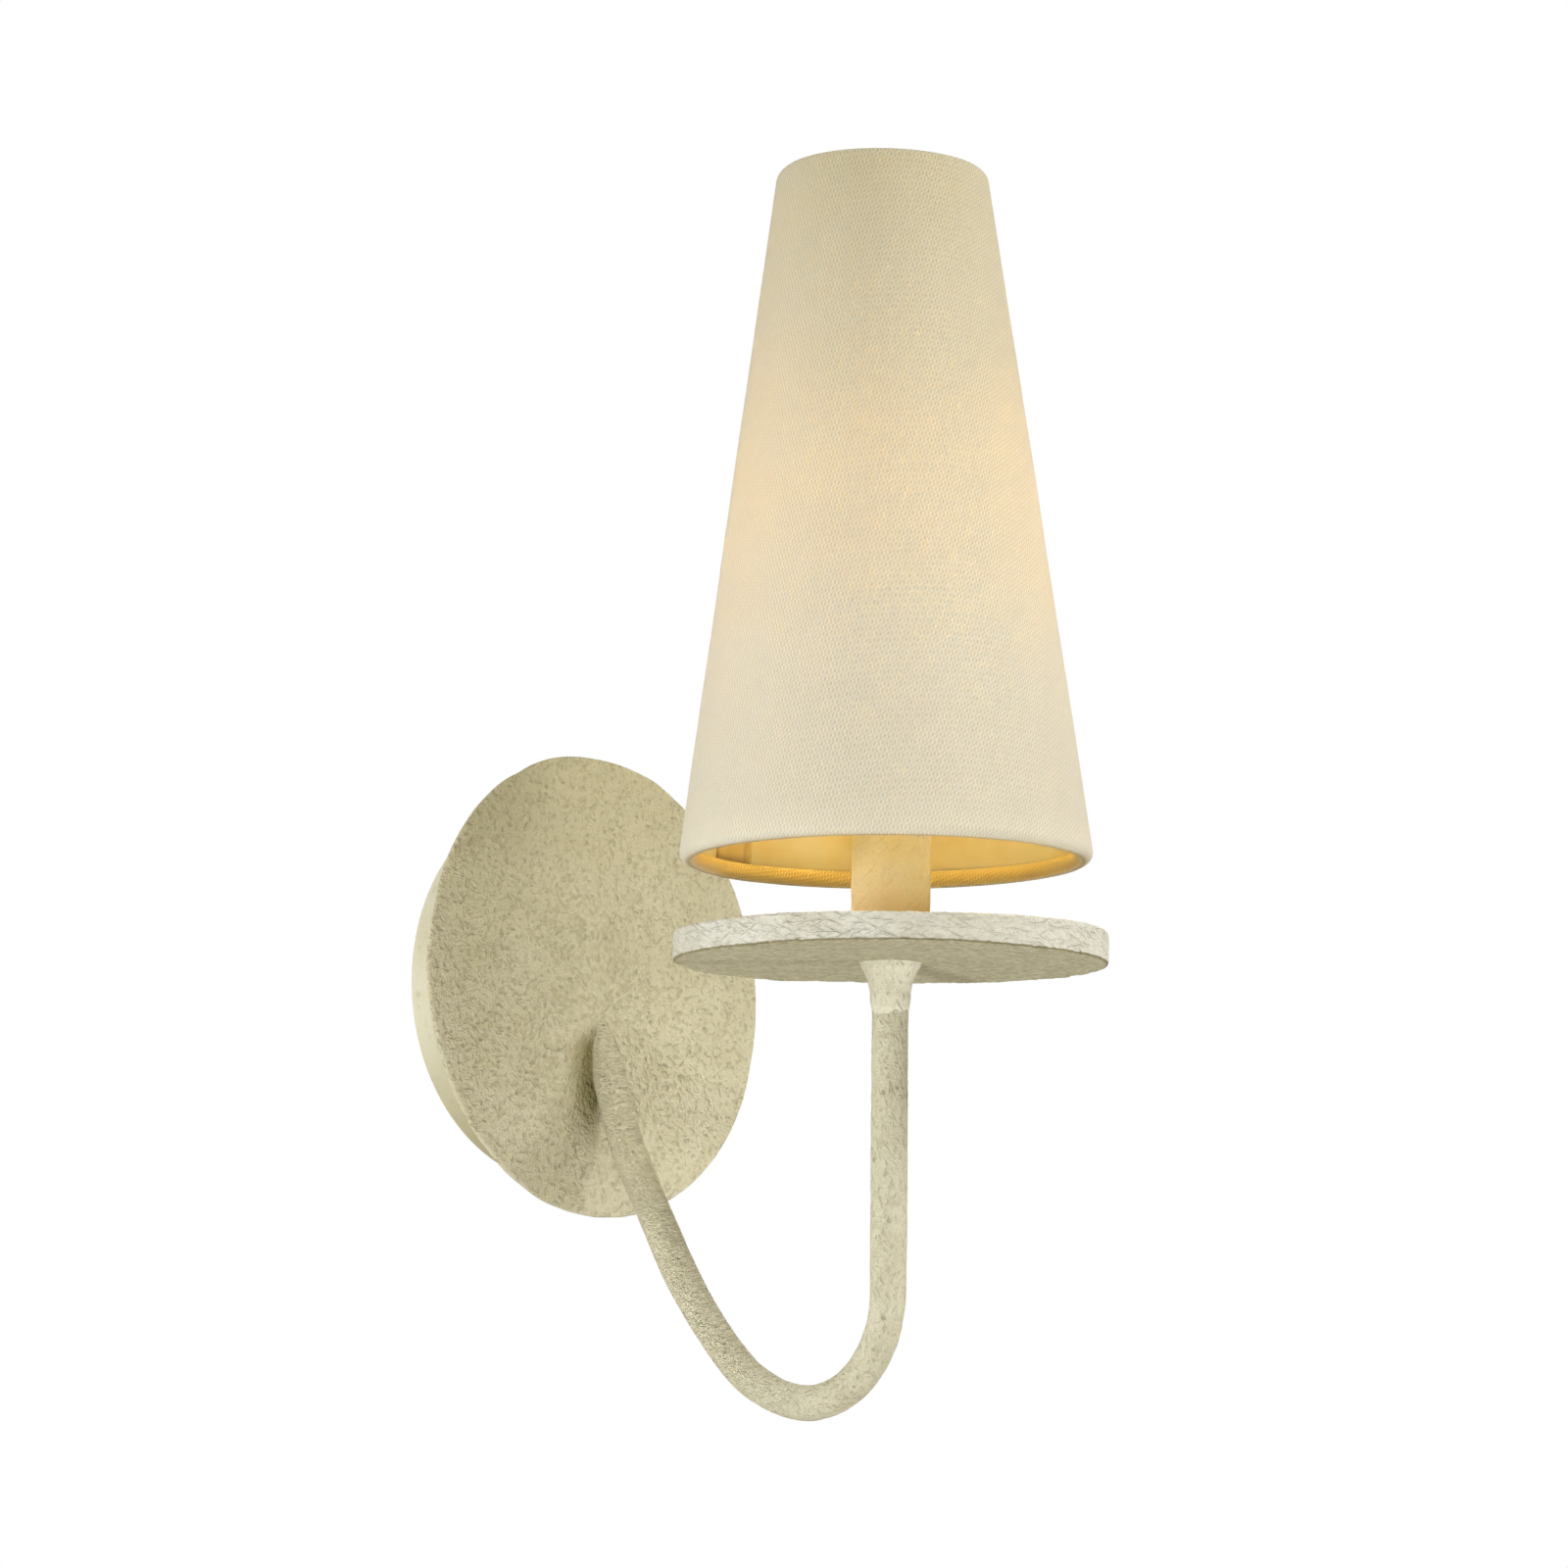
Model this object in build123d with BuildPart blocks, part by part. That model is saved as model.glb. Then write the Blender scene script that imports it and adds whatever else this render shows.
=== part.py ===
from build123d import *
from math import atan2, cos, degrees, radians, sin, sqrt, tan
import os

# Iron arm wall sconce with a tall clip-on cloth shade, in millimetres.
# The wall is the plane Y = 0 and the sconce stands out of it towards -Y. +Z is up.
# The origin is the centre of the wall plate on the wall.

os.makedirs("parts", exist_ok=True)

# Wall pan and the hand-cut plate on its front
pan_radius = 72.5
pan_depth = 19.4
pan_wall = 1.2
pan_edge_radius = 3.0
plate_long_radius = 86.2
plate_short_radius = 80.5
plate_long_angle = 118.0
plate_thickness = 2.0
plate_edge_round = 0.6

# Mounting bar behind the pan
bar_width = 16.0
bar_thickness = 1.6
bar_bend_radius = 2.4
ear_depth = 15.0
box_screw_spacing = 88.9
box_slot_width = 4.6
box_slot_length = 13.0
bar_nipple_hole_radius = 5.2
side_screw_depth = 10.0
side_screw_radius = 2.0
side_screw_length = 8.0
side_screw_head_radius = 4.2
side_screw_head_height = 2.6
side_screw_head_round = 0.9
screw_slot_width = 1.0
screw_slot_depth = 1.0

# Earth connection between the pan and the bar
earth_height = 20.0
earth_screw_radius = 2.3
earth_screw_head_radius = 4.8
earth_screw_head_height = 2.8
earth_stud_side = -24.0
earth_stud_radius = 2.0
earth_stud_length = 9.0
earth_nut_flat_radius = 4.0
earth_nut_height = 3.0
earth_lead_radius = 0.9
earth_lead_bend = 4.0
earth_lead_tail = 4.0
earth_lead_slope_start = 7.0
earth_lead_slope_end = 9.0

# Arm: a bent iron rod tube, described from its root on the plate to the post
rod_radius = 6.4
rod_bore_radius = 4.6
root_depth = 22.1
root_height = 5.1
root_bend_radius = 140.8
root_bend_angle = 32.5
nose_angle = 16.0
nose_tip_height = -13.0
nose_tip_radius = 4.0
nose_tip_rise = 1.2
slope_length = 30.3
reach_bend_radius = 183.1
reach_bend_angle = 16.5
lower_bend_radius = 57.6
lower_bend_angle = 35.2
hook_bend_radius = 38.4

# Supply leads, side by side in the arm
lead_radius = 1.15
lead_spacing = 3.0
lead_exit_bend = 12.0
lead_side_bend = 5.0
lead_side_run = 15.5
lead_bore_length = 7.0
bushing_wall = 1.35
bushing_flange_radius = 7.2
bushing_flange_thickness = 1.2
connector_radius = 5.0
connector_end_radius = 3.6
connector_length = 20.0
connector_bore_length = 11.0
connector_overlap = 6.0

# Drip disc on top of the post
disc_radius = 74.0
disc_thickness = 9.6
disc_underside = -0.8
disc_edge_round = 1.4
collar_top_radius = 11.3
collar_foot_lip = 0.5
collar_height = 12.0
collar_flare_radius = 18.0

# Threaded nipple and its nut
nipple_wall = 1.75
nipple_spigot_length = 12.0
nipple_top_height = 19.0
washer_radius = 8.4
washer_thickness = 0.9
washer_teeth = 12
washer_tooth_depth = 1.4
nut_flat_radius = 7.15
nut_height = 3.2

# Candle cover and the socket in it
cover_radius = 14.0
cover_height = 102.0
cover_edge_round = 1.0
bracket_strip = 1.2
bracket_depth = 8.0
bracket_corner_radius = 2.2
bracket_hub_radius = 7.0
bracket_hub_height = 4.0
bracket_top_gap = 7.0
socket_radius = 10.3
socket_length = 28.0
socket_floor = 6.5
socket_rim_below_cover = 0.6
socket_edge_round = 0.8
shell_wall = 0.4
shell_rim_below_socket = 0.8
rivet_radius = 1.2
rivet_head_radius = 2.1
rivet_head_height = 0.8
rivet_head_round = 0.4
rivet_side = 5.2
rivet_grip = 4.0
contact_width = 3.0
contact_strip = 0.5
contact_half_length = 4.6
lead_end_depth = 3.0

# Bulb with a small screw base
bulb_radius = 17.5
bulb_wall = 0.8
bulb_crown_radius = 70.0
bulb_tip_radius = 4.0
bulb_belly_radius = 30.0
bulb_neck_radius = 6.4
bulb_neck_bend = 14.0
bulb_neck_length = 5.1
base_thread_radius = 5.95
base_thread_depth = 0.45
base_thread_pitch = 2.54
base_thread_turns = 5
base_wall = 0.35
base_collar_height = 3.4
base_insulator_height = 2.6
base_tip_radius = 2.6
base_tip_height = 1.2
base_tip_round = 0.6
stem_radius = 2.2
stem_flare_radius = 4.6
stem_flare_height = 5.0
filament_above_belly = 2.0
filament_above_stem = 14.0
filament_half_span = 6.0
filament_support_radius = 0.35
filament_coil_radius = 0.6
filament_rise = 4.0

# Cloth shade on its two wire rings
shade_foot_drop = 110.8
shade_height = 243.4
shade_foot_radius = 71.4
shade_top_radius = 37.3
shade_lean = 0.68
shade_lean_heading = 135.0
shade_shift = 3.0
cloth_thickness = 0.7
liner_thickness = 0.4
ring_wire_radius = 1.9
cloth_tuck_gap = 0.5
seam_angle = 14.0
seam_start_angle = 87.0
seam_thickness = 0.4

# Spring-wire clip that grips the bulb
clip_wire_radius = 1.0
clip_half_width = 10.0
clip_corner_radius = 6.0

# Clearances
press_clearance = 0.05
running_clearance = 0.1
glue_gap = 0.1
seat_gap = 0.25
wall_clearance = 0.3
hole_clearance = 0.3
lead_way_clearance = 0.65
lead_turn_clearance = 1.35
cover_clearance = 0.9
bracket_clearance = 0.7

# Widths that follow from what passes through or fits in
leads_half_width = lead_spacing / 2 + lead_radius
nipple_bore_radius = leads_half_width + lead_way_clearance
nipple_radius = nipple_bore_radius + nipple_wall
disc_hole_radius = nipple_radius + hole_clearance
lead_exit_radius = leads_half_width + lead_way_clearance + wall_clearance
lead_bore_radius = leads_half_width + lead_turn_clearance
shell_radius = base_thread_radius + running_clearance
cover_bore_radius = socket_radius + cover_clearance
bracket_half_width = socket_radius - bracket_clearance

# Heights and depths that follow from the sizes above
plate_front = pan_depth + plate_thickness
disc_top = disc_underside + disc_thickness
nut_foot = disc_top + washer_thickness
bracket_foot = nut_foot + nut_height
cover_top = disc_top + cover_height
socket_rim = cover_top - socket_rim_below_cover
socket_foot = socket_rim - socket_length
socket_inside = socket_foot + socket_floor
hook_bend_angle = 180.0 - root_bend_angle - reach_bend_angle - lower_bend_angle


def root_point(angle, sideways=0.0):
    """Point of the arm's centre line where its root bend has turned by the angle."""
    turned = radians(angle)
    depth = root_depth + root_bend_radius * (1 - cos(turned))
    height = root_height - root_bend_radius * sin(turned)
    return Vector(sideways, -depth, height)


def root_direction(angle):
    """Direction down the arm where its root bend has turned by the angle."""
    return Vector(0, -sin(radians(angle)), -cos(radians(angle)))


def bend_to_post(angle, sideways=0.0):
    """Draw the arm's bends from the given angle of the root bend to the foot of the post."""
    root = JernArc(
        root_point(angle, sideways), root_direction(angle), root_bend_radius, angle - root_bend_angle
    )
    slope = Line(root @ 1, root @ 1 + (root % 1) * slope_length)
    reach = JernArc(slope @ 1, slope % 1, reach_bend_radius, -reach_bend_angle)
    lower = JernArc(reach @ 1, reach % 1, lower_bend_radius, -lower_bend_angle)
    return JernArc(lower @ 1, lower % 1, hook_bend_radius, -hook_bend_angle)


# The arm's centre line, which also sets how far out the post stands
with BuildLine(Plane.YZ) as arm_route:
    hook = bend_to_post(nose_angle)
    post_foot = hook @ 1
    Line(post_foot, Vector(0, post_foot.Y, disc_underside))

post_y = post_foot.Y
post_axis = Axis((0, post_y, 0), (0, 0, 1))
post_section = Plane((0, post_y, 0), x_dir=(1, 0, 0), z_dir=(0, -1, 0))


def post_plane(height):
    """Level plane centred on the post."""
    return Plane((0, post_y, height))


# Supply leads leave the arm through one hole behind its root
exit_start = root_point(nose_angle)
exit_depth = -exit_start.Y - lead_exit_bend * cos(radians(nose_angle))
exit_height = exit_start.Z + lead_exit_bend * (1 - sin(radians(nose_angle)))
exit_hole_height = exit_height - lead_radius / 2
exit_hole_centre = (0, exit_hole_height)
bushing_radius = lead_exit_radius + bushing_wall
pan_hole_radius = bushing_radius + press_clearance

# Wall pan: a shallow closed dish, open to the wall
with BuildPart() as canopy_pan:
    with BuildSketch(Plane.XZ):
        Circle(pan_radius)
    extrude(amount=pan_depth)
    fillet(canopy_pan.edges().sort_by(Axis.Y)[0], pan_edge_radius)
    offset(amount=-pan_wall, openings=canopy_pan.faces().sort_by(Axis.Y)[-1])
    with BuildSketch(Plane.XZ):
        with Locations(exit_hole_centre):
            Circle(pan_hole_radius)
    extrude(amount=pan_depth, mode=Mode.SUBTRACT)
    with BuildSketch(Plane.XY):
        with Locations((0, -side_screw_depth)):
            Circle(side_screw_radius + running_clearance)
    extrude(amount=pan_radius, both=True, mode=Mode.SUBTRACT)
canopy_pan.part.label = "canopy_pan"
export_step(canopy_pan.part, "parts/canopy_pan.step")

# Hand-cut plate: a little oval, and thin at its edge
with BuildPart() as front_plate:
    with BuildSketch(Plane.XZ.offset(pan_depth)):
        Ellipse(plate_long_radius, plate_short_radius, rotation=plate_long_angle)
        with Locations(exit_hole_centre):
            Circle(pan_hole_radius, mode=Mode.SUBTRACT)
    extrude(amount=plate_thickness)
    plate_rims = front_plate.edges().filter_by(GeomType.ELLIPSE)
    fillet(plate_rims, plate_edge_round)
front_plate.part.label = "front_plate"
export_step(front_plate.part, "parts/front_plate.step")

# Mounting bar: a strap with an ear bent out at each end, its ears just inside the pan's wall
pan_inner_radius = pan_radius - pan_wall
ear_reach = sqrt(pan_inner_radius**2 - (bar_width / 2) ** 2) - wall_clearance
with BuildPart() as mounting_bar:
    with BuildSketch(Plane.YZ):
        with Locations((-ear_depth / 2, 0)):
            Rectangle(ear_depth, 2 * ear_reach)
        with Locations((-bar_thickness - ear_depth / 2, 0)):
            Rectangle(ear_depth, 2 * (ear_reach - bar_thickness), mode=Mode.SUBTRACT)
    extrude(amount=bar_width / 2, both=True)
    bend_edges = mounting_bar.edges().filter_by(Axis.X).group_by(Axis.Y)[-1]
    fillet(bend_edges, bar_bend_radius)
    with BuildSketch(Plane.XZ):
        Circle(bar_nipple_hole_radius)
        with GridLocations(0, box_screw_spacing, 1, 2):
            SlotOverall(box_slot_length, box_slot_width, rotation=90)
        with Locations((0, earth_height)):
            Circle(earth_screw_radius + press_clearance)
    extrude(amount=bar_thickness, mode=Mode.SUBTRACT)
    with BuildSketch(Plane.XY):
        with Locations((0, -side_screw_depth)):
            Circle(side_screw_radius + press_clearance)
    extrude(amount=ear_reach, both=True, mode=Mode.SUBTRACT)
mounting_bar.part.label = "mounting_bar"
export_step(mounting_bar.part, "parts/mounting_bar.step")

# Two slotted screws through the pan's wall into the bar's ears, above and below
with BuildPart() as side_screws:
    for turn in (1, -1):
        head_seat = Plane((0, -side_screw_depth, turn * pan_radius), z_dir=(0, 0, turn))
        with BuildSketch(head_seat):
            Circle(side_screw_radius)
        extrude(amount=-side_screw_length)
        with BuildSketch(head_seat):
            Circle(side_screw_head_radius)
        extrude(amount=side_screw_head_height)
        head_rim = side_screws.edges().group_by(Axis.Z)[-1 if turn > 0 else 0]
        fillet(head_rim, side_screw_head_round)
        with BuildSketch(head_seat.offset(side_screw_head_height)):
            Rectangle(2 * side_screw_head_radius, screw_slot_width)
        extrude(amount=-screw_slot_depth, mode=Mode.SUBTRACT)
side_screws.part.label = "side_screws"
export_step(side_screws.part, "parts/side_screws.step")

# Earth screw in the bar, holding the lead under its head
earth_head_seat = bar_thickness + 2 * earth_lead_radius + running_clearance
with BuildPart() as earth_screw:
    with BuildSketch(Plane.XZ):
        with Locations((0, earth_height)):
            Circle(earth_screw_radius)
    extrude(amount=earth_head_seat)
    with BuildSketch(Plane.XZ.offset(earth_head_seat)):
        with Locations((0, earth_height)):
            RegularPolygon(earth_screw_head_radius, 6)
    extrude(amount=earth_screw_head_height)
    with BuildSketch(Plane.XZ.offset(earth_head_seat + earth_screw_head_height)):
        with Locations((0, earth_height)):
            Rectangle(2 * earth_screw_head_radius, screw_slot_width)
    extrude(amount=-screw_slot_depth, mode=Mode.SUBTRACT)
earth_screw.part.label = "earth_screw"
export_step(earth_screw.part, "parts/earth_screw.step")

# Earth stud welded inside the pan, and its nut
pan_inside_depth = pan_depth - pan_wall
earth_stud_centre = (earth_stud_side, earth_height)
with BuildPart() as earth_stud:
    with BuildSketch(Plane.XZ.offset(pan_inside_depth)):
        with Locations(earth_stud_centre):
            Circle(earth_stud_radius)
    extrude(amount=-earth_stud_length)
earth_stud.part.label = "earth_stud"
export_step(earth_stud.part, "parts/earth_stud.step")

earth_nut_seat = pan_inside_depth - 2 * earth_lead_radius - running_clearance
with BuildPart() as earth_nut:
    with BuildSketch(Plane.XZ.offset(earth_nut_seat)):
        with Locations(earth_stud_centre):
            RegularPolygon(earth_nut_flat_radius, 6, major_radius=False)
            Circle(earth_stud_radius + press_clearance, mode=Mode.SUBTRACT)
    extrude(amount=-earth_nut_height)
earth_nut.part.label = "earth_nut"
export_step(earth_nut.part, "parts/earth_nut.step")

# Earth lead from under the nut, across the pan, to under the screw's head
earth_side_step = max(earth_stud_radius, earth_screw_radius) + earth_lead_radius + running_clearance
earth_pan_y = -(pan_inside_depth - earth_lead_radius - press_clearance)
earth_bar_y = -(bar_thickness + earth_lead_radius + press_clearance)
with BuildPart() as earth_lead:
    with BuildLine(Plane.XY.offset(earth_height + earth_side_step)) as earth_route:
        FilletPolyline(
            (earth_stud_side - earth_lead_tail, earth_pan_y),
            (earth_stud_side + earth_lead_slope_start, earth_pan_y),
            (-earth_lead_slope_end, earth_bar_y),
            (earth_lead_tail, earth_bar_y),
            radius=earth_lead_bend,
        )
    with BuildSketch(Plane(earth_route.line @ 0, z_dir=earth_route.line % 0)):
        Circle(earth_lead_radius)
    sweep()
earth_lead.part.label = "earth_lead"
export_step(earth_lead.part, "parts/earth_lead.step")

# Bushing in the hole through the pan and the plate
with BuildPart() as lead_bushing:
    with BuildSketch(Plane.XZ.offset(plate_front)):
        with Locations(exit_hole_centre):
            Circle(bushing_radius)
    extrude(amount=-(plate_front - pan_inside_depth))
    with BuildSketch(Plane.XZ.offset(pan_inside_depth)):
        with Locations(exit_hole_centre):
            Circle(bushing_flange_radius)
    extrude(amount=-bushing_flange_thickness)
    with BuildSketch(Plane.XZ):
        with Locations(exit_hole_centre):
            Circle(lead_exit_radius)
    extrude(amount=plate_front, mode=Mode.SUBTRACT)
lead_bushing.part.label = "lead_bushing"
export_step(lead_bushing.part, "parts/lead_bushing.step")

# Arm: the tube, whose root is drawn down to a nose that sinks into the plate
nose_seat = Plane(exit_start, z_dir=root_direction(nose_angle))
nose_tip_centre = (0, nose_tip_radius - nose_tip_rise - plate_front, nose_tip_height)
with BuildPart() as arm_tube:
    with BuildSketch(nose_seat):
        Circle(rod_radius)
        Circle(rod_bore_radius, mode=Mode.SUBTRACT)
    sweep(path=arm_route.line)
    with BuildSketch(nose_seat):
        Circle(rod_radius)
    with BuildSketch(Plane(nose_tip_centre)):
        Circle(nose_tip_radius)
    loft()
    with BuildSketch(nose_seat):
        Circle(lead_bore_radius)
    extrude(amount=-lead_bore_length, mode=Mode.SUBTRACT)
    with BuildSketch(Plane.XZ):
        with Locations(exit_hole_centre):
            Circle(lead_exit_radius)
    extrude(amount=-exit_start.Y - lead_bore_radius / 2, mode=Mode.SUBTRACT)
    split(bisect_by=Plane.XZ.offset(plate_front), keep=Keep.TOP)
arm_tube.part.label = "arm_tube"
export_step(arm_tube.part, "parts/arm_tube.step")

# Flared collar where the post meets the drip disc
collar_inner = rod_radius + press_clearance
collar_foot = disc_underside - collar_height
collar_foot_radius = collar_inner + collar_foot_lip
with BuildPart() as post_collar:
    with BuildSketch(post_section):
        with BuildLine():
            flare = RadiusArc(
                (collar_top_radius, disc_underside), (collar_foot_radius, collar_foot), collar_flare_radius
            )
            Polyline(flare @ 1, (collar_inner, collar_foot), (collar_inner, disc_underside), flare @ 0)
        make_face()
    revolve(axis=post_axis)
post_collar.part.label = "post_collar"
export_step(post_collar.part, "parts/post_collar.step")

# Drip disc: a thick round plate with softened edges
with BuildPart() as drip_disc:
    with BuildSketch(post_plane(disc_underside)):
        Circle(disc_radius)
    extrude(amount=disc_thickness)
    fillet(drip_disc.edges(), disc_edge_round)
    with BuildSketch(post_plane(disc_underside)):
        Circle(disc_hole_radius)
    extrude(amount=disc_thickness, mode=Mode.SUBTRACT)
drip_disc.part.label = "drip_disc"
export_step(drip_disc.part, "parts/drip_disc.step")

# Threaded nipple: a spigot in the post, then the thread up through the disc
with BuildPart() as post_nipple:
    with BuildSketch(post_plane(disc_underside)):
        Circle(rod_bore_radius - press_clearance)
    extrude(amount=-nipple_spigot_length)
    with BuildSketch(post_plane(disc_underside)):
        Circle(nipple_radius)
    extrude(amount=nipple_top_height - disc_underside)
    with BuildSketch(post_plane(disc_underside - nipple_spigot_length)):
        Circle(nipple_bore_radius)
    extrude(amount=nipple_top_height - disc_underside + nipple_spigot_length, mode=Mode.SUBTRACT)
post_nipple.part.label = "post_nipple"
export_step(post_nipple.part, "parts/post_nipple.step")

# Toothed lock washer and thin hexagon nut
with BuildPart() as lock_washer:
    with BuildSketch(post_plane(disc_top)):
        Circle(washer_radius)
        Circle(nipple_radius + running_clearance, mode=Mode.SUBTRACT)
        with PolarLocations(washer_radius, washer_teeth):
            Rectangle(2 * washer_tooth_depth, washer_tooth_depth, mode=Mode.SUBTRACT)
    extrude(amount=washer_thickness)
lock_washer.part.label = "lock_washer"
export_step(lock_washer.part, "parts/lock_washer.step")

with BuildPart() as lock_nut:
    with BuildSketch(post_plane(nut_foot)):
        RegularPolygon(nut_flat_radius, 6, major_radius=False)
        Circle(nipple_radius + running_clearance, mode=Mode.SUBTRACT)
    extrude(amount=nut_height)
lock_nut.part.label = "lock_nut"
export_step(lock_nut.part, "parts/lock_nut.step")

# Socket bracket: a strip bent to a frame, with a tapped hub at its foot
with BuildPart() as socket_bracket:
    with BuildSketch(post_section):
        bracket_middle = (bracket_foot + socket_foot) / 2
        with Locations((0, bracket_middle)):
            RectangleRounded(2 * bracket_half_width, socket_foot - bracket_foot, bracket_corner_radius)
            RectangleRounded(
                2 * (bracket_half_width - bracket_strip),
                socket_foot - bracket_foot - 2 * bracket_strip,
                bracket_corner_radius - bracket_strip,
                mode=Mode.SUBTRACT,
            )
        with Locations((0, socket_foot)):
            Rectangle(bracket_top_gap, 2 * bracket_corner_radius, mode=Mode.SUBTRACT)
    extrude(amount=bracket_depth / 2, both=True)
    with BuildSketch(post_plane(bracket_foot)):
        Circle(bracket_hub_radius)
    extrude(amount=bracket_hub_height)
    with BuildSketch(post_plane(bracket_foot)):
        Circle(nipple_radius + running_clearance)
    extrude(amount=bracket_hub_height, mode=Mode.SUBTRACT)
    with BuildSketch(post_plane(socket_foot)):
        with GridLocations(2 * rivet_side, 0, 2, 1):
            Circle(rivet_radius + press_clearance)
    extrude(amount=-bracket_strip, mode=Mode.SUBTRACT)
socket_bracket.part.label = "socket_bracket"
export_step(socket_bracket.part, "parts/socket_bracket.step")

# Socket body: a moulded cup for the bulb's base
shell_outer_radius = shell_radius + shell_wall
with BuildPart() as socket_body:
    with BuildSketch(post_plane(socket_foot)):
        Circle(socket_radius)
    extrude(amount=socket_length)
    fillet(socket_body.edges().group_by(Axis.Z)[-1], socket_edge_round)
    with BuildSketch(post_plane(socket_inside)):
        Circle(shell_outer_radius + press_clearance)
    extrude(amount=socket_length, mode=Mode.SUBTRACT)
    with BuildSketch(post_plane(socket_foot)):
        with GridLocations(lead_spacing, 0, 2, 1):
            Circle(lead_radius + running_clearance)
    extrude(amount=lead_end_depth + running_clearance, mode=Mode.SUBTRACT)
    with BuildSketch(post_plane(socket_foot)):
        with GridLocations(2 * rivet_side, 0, 2, 1):
            Circle(rivet_radius + press_clearance)
    extrude(amount=rivet_grip + running_clearance, mode=Mode.SUBTRACT)
socket_body.part.label = "socket_body"
export_step(socket_body.part, "parts/socket_body.step")

# Rivets that hold the socket on the bracket's tabs
with BuildPart() as socket_rivets:
    with BuildSketch(post_plane(socket_foot - bracket_strip)):
        with GridLocations(2 * rivet_side, 0, 2, 1):
            Circle(rivet_radius)
    extrude(amount=bracket_strip + rivet_grip)
    with BuildSketch(post_plane(socket_foot - bracket_strip)):
        with GridLocations(2 * rivet_side, 0, 2, 1):
            Circle(rivet_head_radius)
    extrude(amount=-rivet_head_height)
    fillet(socket_rivets.edges().group_by(Axis.Z)[0], rivet_head_round)
socket_rivets.part.label = "socket_rivets"
export_step(socket_rivets.part, "parts/socket_rivets.step")

# Brass screw shell in the cup
with BuildPart() as socket_shell:
    with BuildSketch(post_plane(socket_inside)):
        Circle(shell_outer_radius)
        Circle(shell_radius, mode=Mode.SUBTRACT)
    extrude(amount=socket_rim - shell_rim_below_socket - socket_inside)
socket_shell.part.label = "socket_shell"
export_step(socket_shell.part, "parts/socket_shell.step")

# The bulb's base stands just clear of the contact, with its collar above the socket's rim
base_collar_foot = socket_rim + seat_gap
base_tip_foot = base_collar_foot - base_thread_turns * base_thread_pitch - base_insulator_height - base_tip_height
contact_top = base_tip_foot - seat_gap
with BuildPart() as centre_contact:
    with BuildSketch(post_section):
        with BuildLine():
            arch = ThreePointArc(
                (-contact_half_length, socket_inside),
                (0, contact_top),
                (contact_half_length, socket_inside),
            )
            inner_arch = ThreePointArc(
                (contact_half_length - contact_strip, socket_inside),
                (0, contact_top - contact_strip),
                (contact_strip - contact_half_length, socket_inside),
            )
            Line(arch @ 1, inner_arch @ 0)
            Line(inner_arch @ 1, arch @ 0)
        make_face()
    extrude(amount=contact_width / 2, both=True)
centre_contact.part.label = "centre_contact"
export_step(centre_contact.part, "parts/centre_contact.step")

# Candle cover: a sleeve that stands on the drip disc round the socket
with BuildPart() as candle_cover:
    with BuildSketch(post_plane(disc_top)):
        Circle(cover_radius)
        Circle(cover_bore_radius, mode=Mode.SUBTRACT)
    extrude(amount=cover_height)
    fillet(candle_cover.edges().group_by(Axis.Z)[-1].sort_by(SortBy.LENGTH)[-1], cover_edge_round)
candle_cover.part.label = "candle_cover"
export_step(candle_cover.part, "parts/candle_cover.step")


def supply_lead(side):
    """One supply lead, from its connector in the pan, up the arm, into the socket's foot."""
    sideways = side * lead_spacing / 2
    turned_x = sideways + side * lead_side_bend
    end_x = turned_x + side * lead_side_run
    turned_y = -(exit_depth - lead_side_bend)
    with BuildPart() as lead:
        with BuildLine(Plane.YZ.offset(sideways)) as route:
            side_run = Line(Vector(end_x, turned_y, exit_height), Vector(turned_x, turned_y, exit_height))
            side_bend = TangentArc(
                side_run @ 1, Vector(sideways, -exit_depth, exit_height), tangent=side_run % 1
            )
            TangentArc(side_bend @ 1, root_point(nose_angle, sideways), tangent=side_bend % 1)
            lead_hook = bend_to_post(nose_angle, sideways)
            Line(lead_hook @ 1, Vector(sideways, post_y, socket_foot + lead_end_depth))
        with BuildSketch(Plane(route.line @ 0, z_dir=route.line % 0)):
            Circle(lead_radius)
        sweep()
    return lead


live_lead = supply_lead(1)
live_lead.part.label = "live_lead"
export_step(live_lead.part, "parts/live_lead.step")

neutral_lead = supply_lead(-1)
neutral_lead.part.label = "neutral_lead"
export_step(neutral_lead.part, "parts/neutral_lead.step")

# Twist-on connectors on the leads' ends in the pan
connector_mouth = lead_spacing / 2 + lead_side_bend + lead_side_run - connector_overlap
connector_depth = exit_depth - lead_side_bend
with BuildPart() as lead_connectors:
    for side in (1, -1):
        mouth = Plane((side * connector_mouth, -connector_depth, exit_height), z_dir=(side, 0, 0))
        with BuildSketch(mouth):
            Circle(connector_radius)
        with BuildSketch(mouth.offset(connector_length)):
            Circle(connector_end_radius)
        loft()
        with BuildSketch(mouth):
            Circle(lead_radius + seat_gap)
        extrude(amount=connector_bore_length, mode=Mode.SUBTRACT)
lead_connectors.part.label = "lead_connectors"
export_step(lead_connectors.part, "parts/lead_connectors.step")

# Bulb outline: crown, tip, belly and neck arcs that run into each other
crown_centre_x = bulb_radius - bulb_crown_radius
crown_rise = sqrt((bulb_crown_radius - bulb_tip_radius) ** 2 - crown_centre_x**2)
crown_angle = degrees(atan2(crown_rise, -crown_centre_x))
belly_centre_x = bulb_radius - bulb_belly_radius
neck_centre_x = bulb_neck_radius + bulb_neck_bend
neck_drop = sqrt((bulb_belly_radius + bulb_neck_bend) ** 2 - (neck_centre_x - belly_centre_x) ** 2)
belly_angle = degrees(atan2(neck_drop, neck_centre_x - belly_centre_x))
neck_foot = base_collar_foot + seat_gap
bulb_wide_height = neck_foot + bulb_neck_length + neck_drop


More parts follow.
